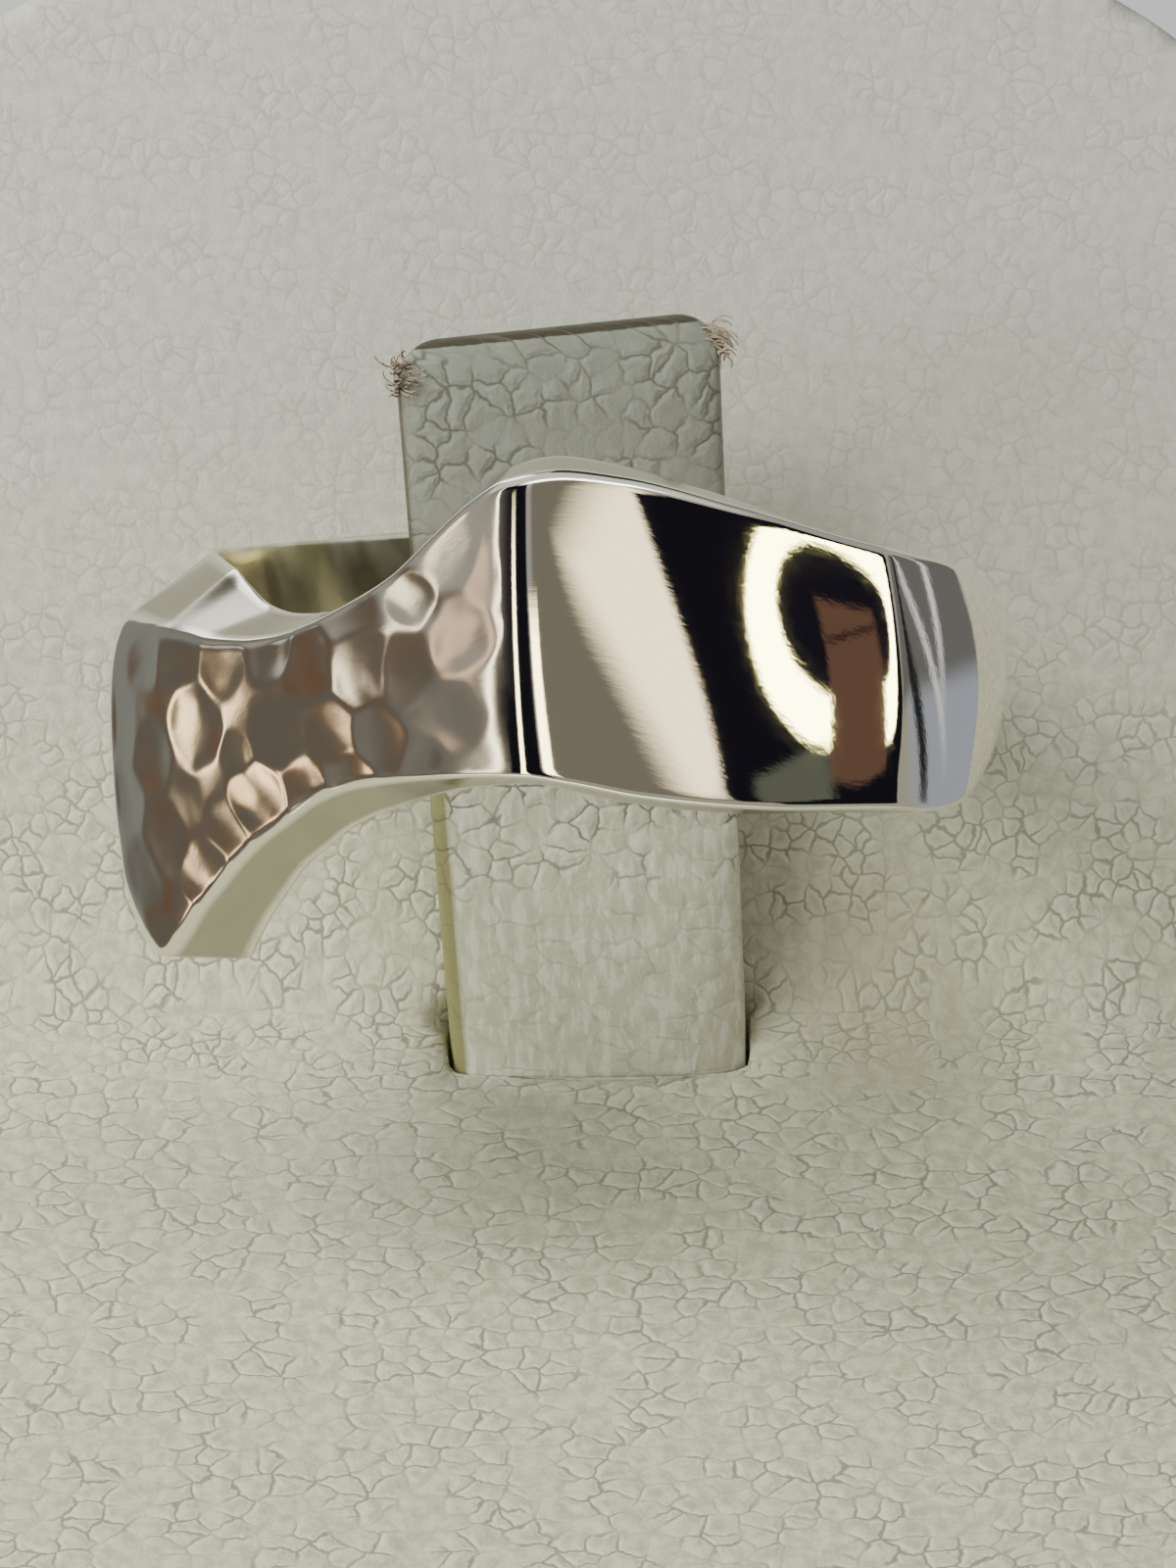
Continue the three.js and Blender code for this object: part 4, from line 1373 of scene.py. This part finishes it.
# %% Cards round the ring
ROUND, SQUARE = "round", "square"
CARDS = [
    # name, outline, azimuth, elevation, half width, half height, turn, soft edge, colour, strength
    ("beige wall", SQUARE, 20, 16, 17, 26, 0, 0.1, "FFF7DE", 0.185),
    ("cream sheet", SQUARE, 36.0, 18.7, 12, 17.5, 27, 0.32, "FFEEC6", 2.6),
    ("black curtain", SQUARE, 65.2, 12, 28, 22, 1, 0.04, "D4CBFF", 0.012),
    ("ring lamp", ROUND, 68, 10.6, 19.5, 13.2, -12, 0.025, "FFF6A8", 14.0),
    ("lamp's dark middle", ROUND, 67.6, 12, 12.3, 8.6, -14, 0.04, "D4CBFF", 0.014),
    ("brown board", SQUARE, 65.6, 4.1, 5.6, 10.3, -27, 0.06, "FFC4A4", 0.13),
    ("board's shelf", SQUARE, 69, 10.4, 5.5, 0.35, -12, 0.4, "FFC9AD", 0.04),
    ("black shelf", SQUARE, 60, -14, 16, 8.5, 0, 0.08, "D4CBFF", 0.012),
    ("grey-green cloth", SQUARE, 50, -2, 6.8, 4, 0, 0.2, "F5FFE2", 0.12),
    ("white edge", SQUARE, 3, 8, 2.2, 14, 0, 0.3, "FFF2B9", 8.0),
    ("black gap", SQUARE, -15.5, 10, 15, 40, 0, 0.05, "D4CBFF", 0.012),
    ("white slit", SQUARE, -12, 0, 1.5, 30, 0, 0.3, "FFF2B9", 8.0),
    ("patched cloth", SQUARE, -92, -6, 60, 38, 0, 0.1, "FFF2DE", 0.115),
    ("grey far wall", SQUARE, -130, -14, 16, 30, 0, 0.4, "FAFFF4", 0.22),
    ("grey near wall", SQUARE, -42, 8, 10, 40, 0, 0.4, "FFF6E6", 0.165),
    ("grey upper wall", SQUARE, -80, 25, 46, 10, 0, 0.5, "FFF8EA", 0.36),
    ("cream window", SQUARE, -32, 6, 1.6, 36, 0, 0.3, "FFF2D0", 5.0),
    ("first cream lamp", SQUARE, -93, -10, 3.6, 6, 0, 0.45, "FFE0AE", 3.0),
    ("second cream lamp", SQUARE, -66, -18, 3.4, 5.5, 0, 0.45, "FFD8A8", 2.6),
    ("third cream lamp", SQUARE, -76, -28, 4, 5.5, 0, 0.45, "FFDCAE", 3.0),
    ("high cream lamp", SQUARE, -64, 14.5, 3, 6, 0, 0.45, "FFF2D0", 2.4),
    ("pink lamp", SQUARE, -42, 14, 3, 8, 0, 0.35, "FFDCBC", 1.1),
    ("pale lamp", SQUARE, -103, 6, 6, 4, 0, 0.4, "FFFFF4", 0.6),
    ("white low strip", SQUARE, -50, -56, 90, 5, 0, 0.3, "FFFFF4", 3.0),
    ("white high strip", SQUARE, 30, 50, 34, 5, 0, 0.3, "FFFFF4", 7.0),
    ("white side wall", SQUARE, -160, 0, 9, 50, 0, 0.2, "FFFFFF", 3.0),
    ("dark side wall", SQUARE, 168, 0, 16, 50, 0, 0.2, "D8FFEA", 0.05),
    ("blue-grey wall", SQUARE, 135, -30, 30, 18, 0, 0.2, "E6EEFF", 0.44),
    ("grey door", SQUARE, 120, -11, 22, 9, -20, 0.15, "FFFFFA", 0.14),
    ("dark slit", SQUARE, 111, -10, 1.4, 18, -5, 0.3, "FFFFFF", 0.02),
    ("left crease", SQUARE, 116, -8, 0.7, 16, 6, 0.3, "FFFFFF", 0.8),
    ("right crease", SQUARE, 128, -7, 0.8, 15, -32, 0.3, "FFFFFF", 0.9),
]
CLOTH_PATCHES = ("FFC89C", 0.14)
PATCH_SIZE = 13
STUDIO_FLOOR = ("FFFCDE", 0.36)
STUDIO_WALL = ("F2EFE8", 0.42)
STUDIO_CEILING = ("FFFFF0", 0.8)
WALL_STARTS = (-8, 4)
CEILING_STARTS = (36, 44)
BACKDROP = ("E9E9F0", 1.0)
SOFT_LIGHT = ("F2F7FF", 0.37)
print("cards:", len(CARDS))


# %% Studio
def glow(colour, strength):
    """The light that a surface sends out: its colour at a strength."""
    return (*(channel * strength for channel in linear(colour)[:3]), 1.0)


def direction_in_degrees(tree):
    """Each direction as a flat map: azimuth across, 0 in front and + to the right, and elevation
    up."""
    way = add(tree, "ShaderNodeTexCoord", output="Generated")
    parts = add(tree, "ShaderNodeSeparateXYZ", {"Vector": way}, output=None).outputs
    forward = add(tree, "ShaderNodeMath", {0: parts["Y"], 1: -1.0}, operation="MULTIPLY")
    azimuth = add(tree, "ShaderNodeMath", {0: parts["X"], 1: forward}, operation="ARCTAN2")
    elevation = add(tree, "ShaderNodeMath", {0: parts["Z"]}, operation="ARCSINE")
    azimuth, elevation = (
        add(tree, "ShaderNodeMath", {0: angle, 1: math.degrees(1)}, operation="MULTIPLY")
        for angle in (azimuth, elevation)
    )
    return add(tree, "ShaderNodeCombineXYZ", {"X": azimuth, "Y": elevation}), elevation


def distance_on_card(tree, spot, outline, place, size, turn):
    """0 in the middle of a card and 1 at its rim."""
    local = add(tree, "ShaderNodeMapping", {
        "Vector": spot,
        "Location": (*place, 0),
        "Rotation": (0, 0, math.radians(turn)),
        "Scale": (*size, 1),
    }, vector_type="TEXTURE")
    if outline == ROUND:
        return add(tree, "ShaderNodeVectorMath", {0: local}, output="Value", operation="LENGTH")
    reach = add(tree, "ShaderNodeVectorMath", {0: local}, operation="ABSOLUTE")
    reach = add(tree, "ShaderNodeSeparateXYZ", {"Vector": reach}, output=None).outputs
    return add(tree, "ShaderNodeMath", {0: reach["X"], 1: reach["Y"]}, operation="MAXIMUM")


def make_studio():
    world = bpy.data.worlds.new("studio")
    world.use_nodes = True
    tree = world.node_tree
    tree.nodes.clear()
    spot, elevation = direction_in_degrees(tree)
    room = glow(*STUDIO_FLOOR)
    room = coat(tree, room, elevation, WALL_STARTS, (0.0, 1.0), glow(*STUDIO_WALL))
    room = coat(tree, room, elevation, CEILING_STARTS, (0.0, 1.0), glow(*STUDIO_CEILING))
    patches = add(tree, "ShaderNodeTexNoise", {
        "Vector": spot, "Scale": 1 / PATCH_SIZE, "Detail": 1.0,
    })
    patches = add(tree, "ShaderNodeMapRange", {
        "Value": patches, "From Min": 0.46, "From Max": 0.68,
    })
    for name, outline, az, el, half_width, half_height, turn, edge, colour, strength in CARDS:
        reach = distance_on_card(tree, spot, outline, (az, el), (half_width, half_height), turn)
        paint = glow(colour, strength)
        if name == "patched cloth":
            paint = add(tree, "ShaderNodeMix", {
                "Factor": patches, "A": paint, "B": glow(*CLOTH_PATCHES),
            }, output="Result", data_type="RGBA")
        room = coat(tree, room, reach, (1 - edge, 1 + edge), (1.0, 0.0), paint)
    ray = add(tree, "ShaderNodeLightPath", output=None).outputs
    plain = add(tree, "ShaderNodeMix", {
        "Factor": ray["Is Camera Ray"], "A": glow(*SOFT_LIGHT), "B": glow(*BACKDROP),
    }, output="Result", data_type="RGBA")
    plain = add(tree, "ShaderNodeBackground", {"Color": plain})
    mirrored = add(tree, "ShaderNodeBackground", {"Color": room})
    light = add(tree, "ShaderNodeMixShader", {"Fac": ray["Is Glossy Ray"], 1: plain, 2: mirrored})
    add(tree, "ShaderNodeOutputWorld", {"Surface": light}, output=None)
    return world


bpy.context.scene.world = make_studio()
print("nodes in the studio:", len(bpy.context.scene.world.node_tree.nodes))

# %% [markdown]
# ## Softboxes and floor
# Two softboxes give the stand its gentle shadows: one stands high over the left front, and one
# low at the far left. The silver doesn't mirror them, because its room already holds its lamps.
# Under it all lies a sheet of matte pale paper.

# %% Softboxes
SOFTBOX_COLOUR = "FFFFF1"
SOFTBOX_SIZE = 0.1
SOFTBOXES = (
    # place, power
    ((-0.11, -0.045, 0.19), 0.52),
    ((-0.28, -0.1, 0.08), 0.62),
)

for place, power in SOFTBOXES:
    softbox = bpy.data.objects.new("softbox", bpy.data.lights.new("softbox", "AREA"))
    softbox.data.size = SOFTBOX_SIZE
    softbox.data.energy = power
    softbox.data.color = linear(SOFTBOX_COLOUR)[:3]
    softbox.location = place
    softbox.rotation_euler = (-Vector(place)).to_track_quat("-Z", "Y").to_euler()
    softbox.visible_glossy = False
    bpy.context.scene.collection.objects.link(softbox)
print("softboxes:", len(SOFTBOXES))

# %% Floor
FLOOR_REACH = 1.0


def make_floor():
    """Matte paper is rough and even, with hardly any mottling."""
    material, tree = new_material("matte pale paper")
    place = add(tree, "ShaderNodeTexCoord", output="Object")
    tone = add(tree, "ShaderNodeTexNoise", {"Vector": place, "Scale": 30.0})
    colour = add(tree, "ShaderNodeMix", {
        "Factor": tone, "A": linear("DCDCE0"), "B": linear("E2E2E6"),
    }, output="Result", data_type="RGBA")
    surface = add(tree, "ShaderNodeBsdfPrincipled", {"Base Color": colour, "Roughness": 0.8})
    add(tree, "ShaderNodeOutputMaterial", {"Surface": surface}, output=None)
    corners = np.array([(-1, -1, 0), (1, -1, 0), (1, 1, 0), (-1, 1, 0)], float) * FLOOR_REACH
    floor = new_piece("floor", corners, [(0, 1, 2, 3)])
    floor.visible_glossy = False
    dress(floor, material)
    return floor


floor = make_floor()
print("floor of", floor.data.materials[0].name, "reaches, m:", FLOOR_REACH)

# %% [markdown]
# ## Onto the model's body
# Every piece rides on the model's one body and stands for its CAD node.

# %% Pieces on the body
for piece, node, slot in (
    (ring, "ring", "silver"),
    (tongue, "tongue", "leatherette"),
    (threads, "tongue", "leatherette"),
    (stand, "stand", "leatherette"),
):
    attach(piece, "root")
    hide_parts(node)
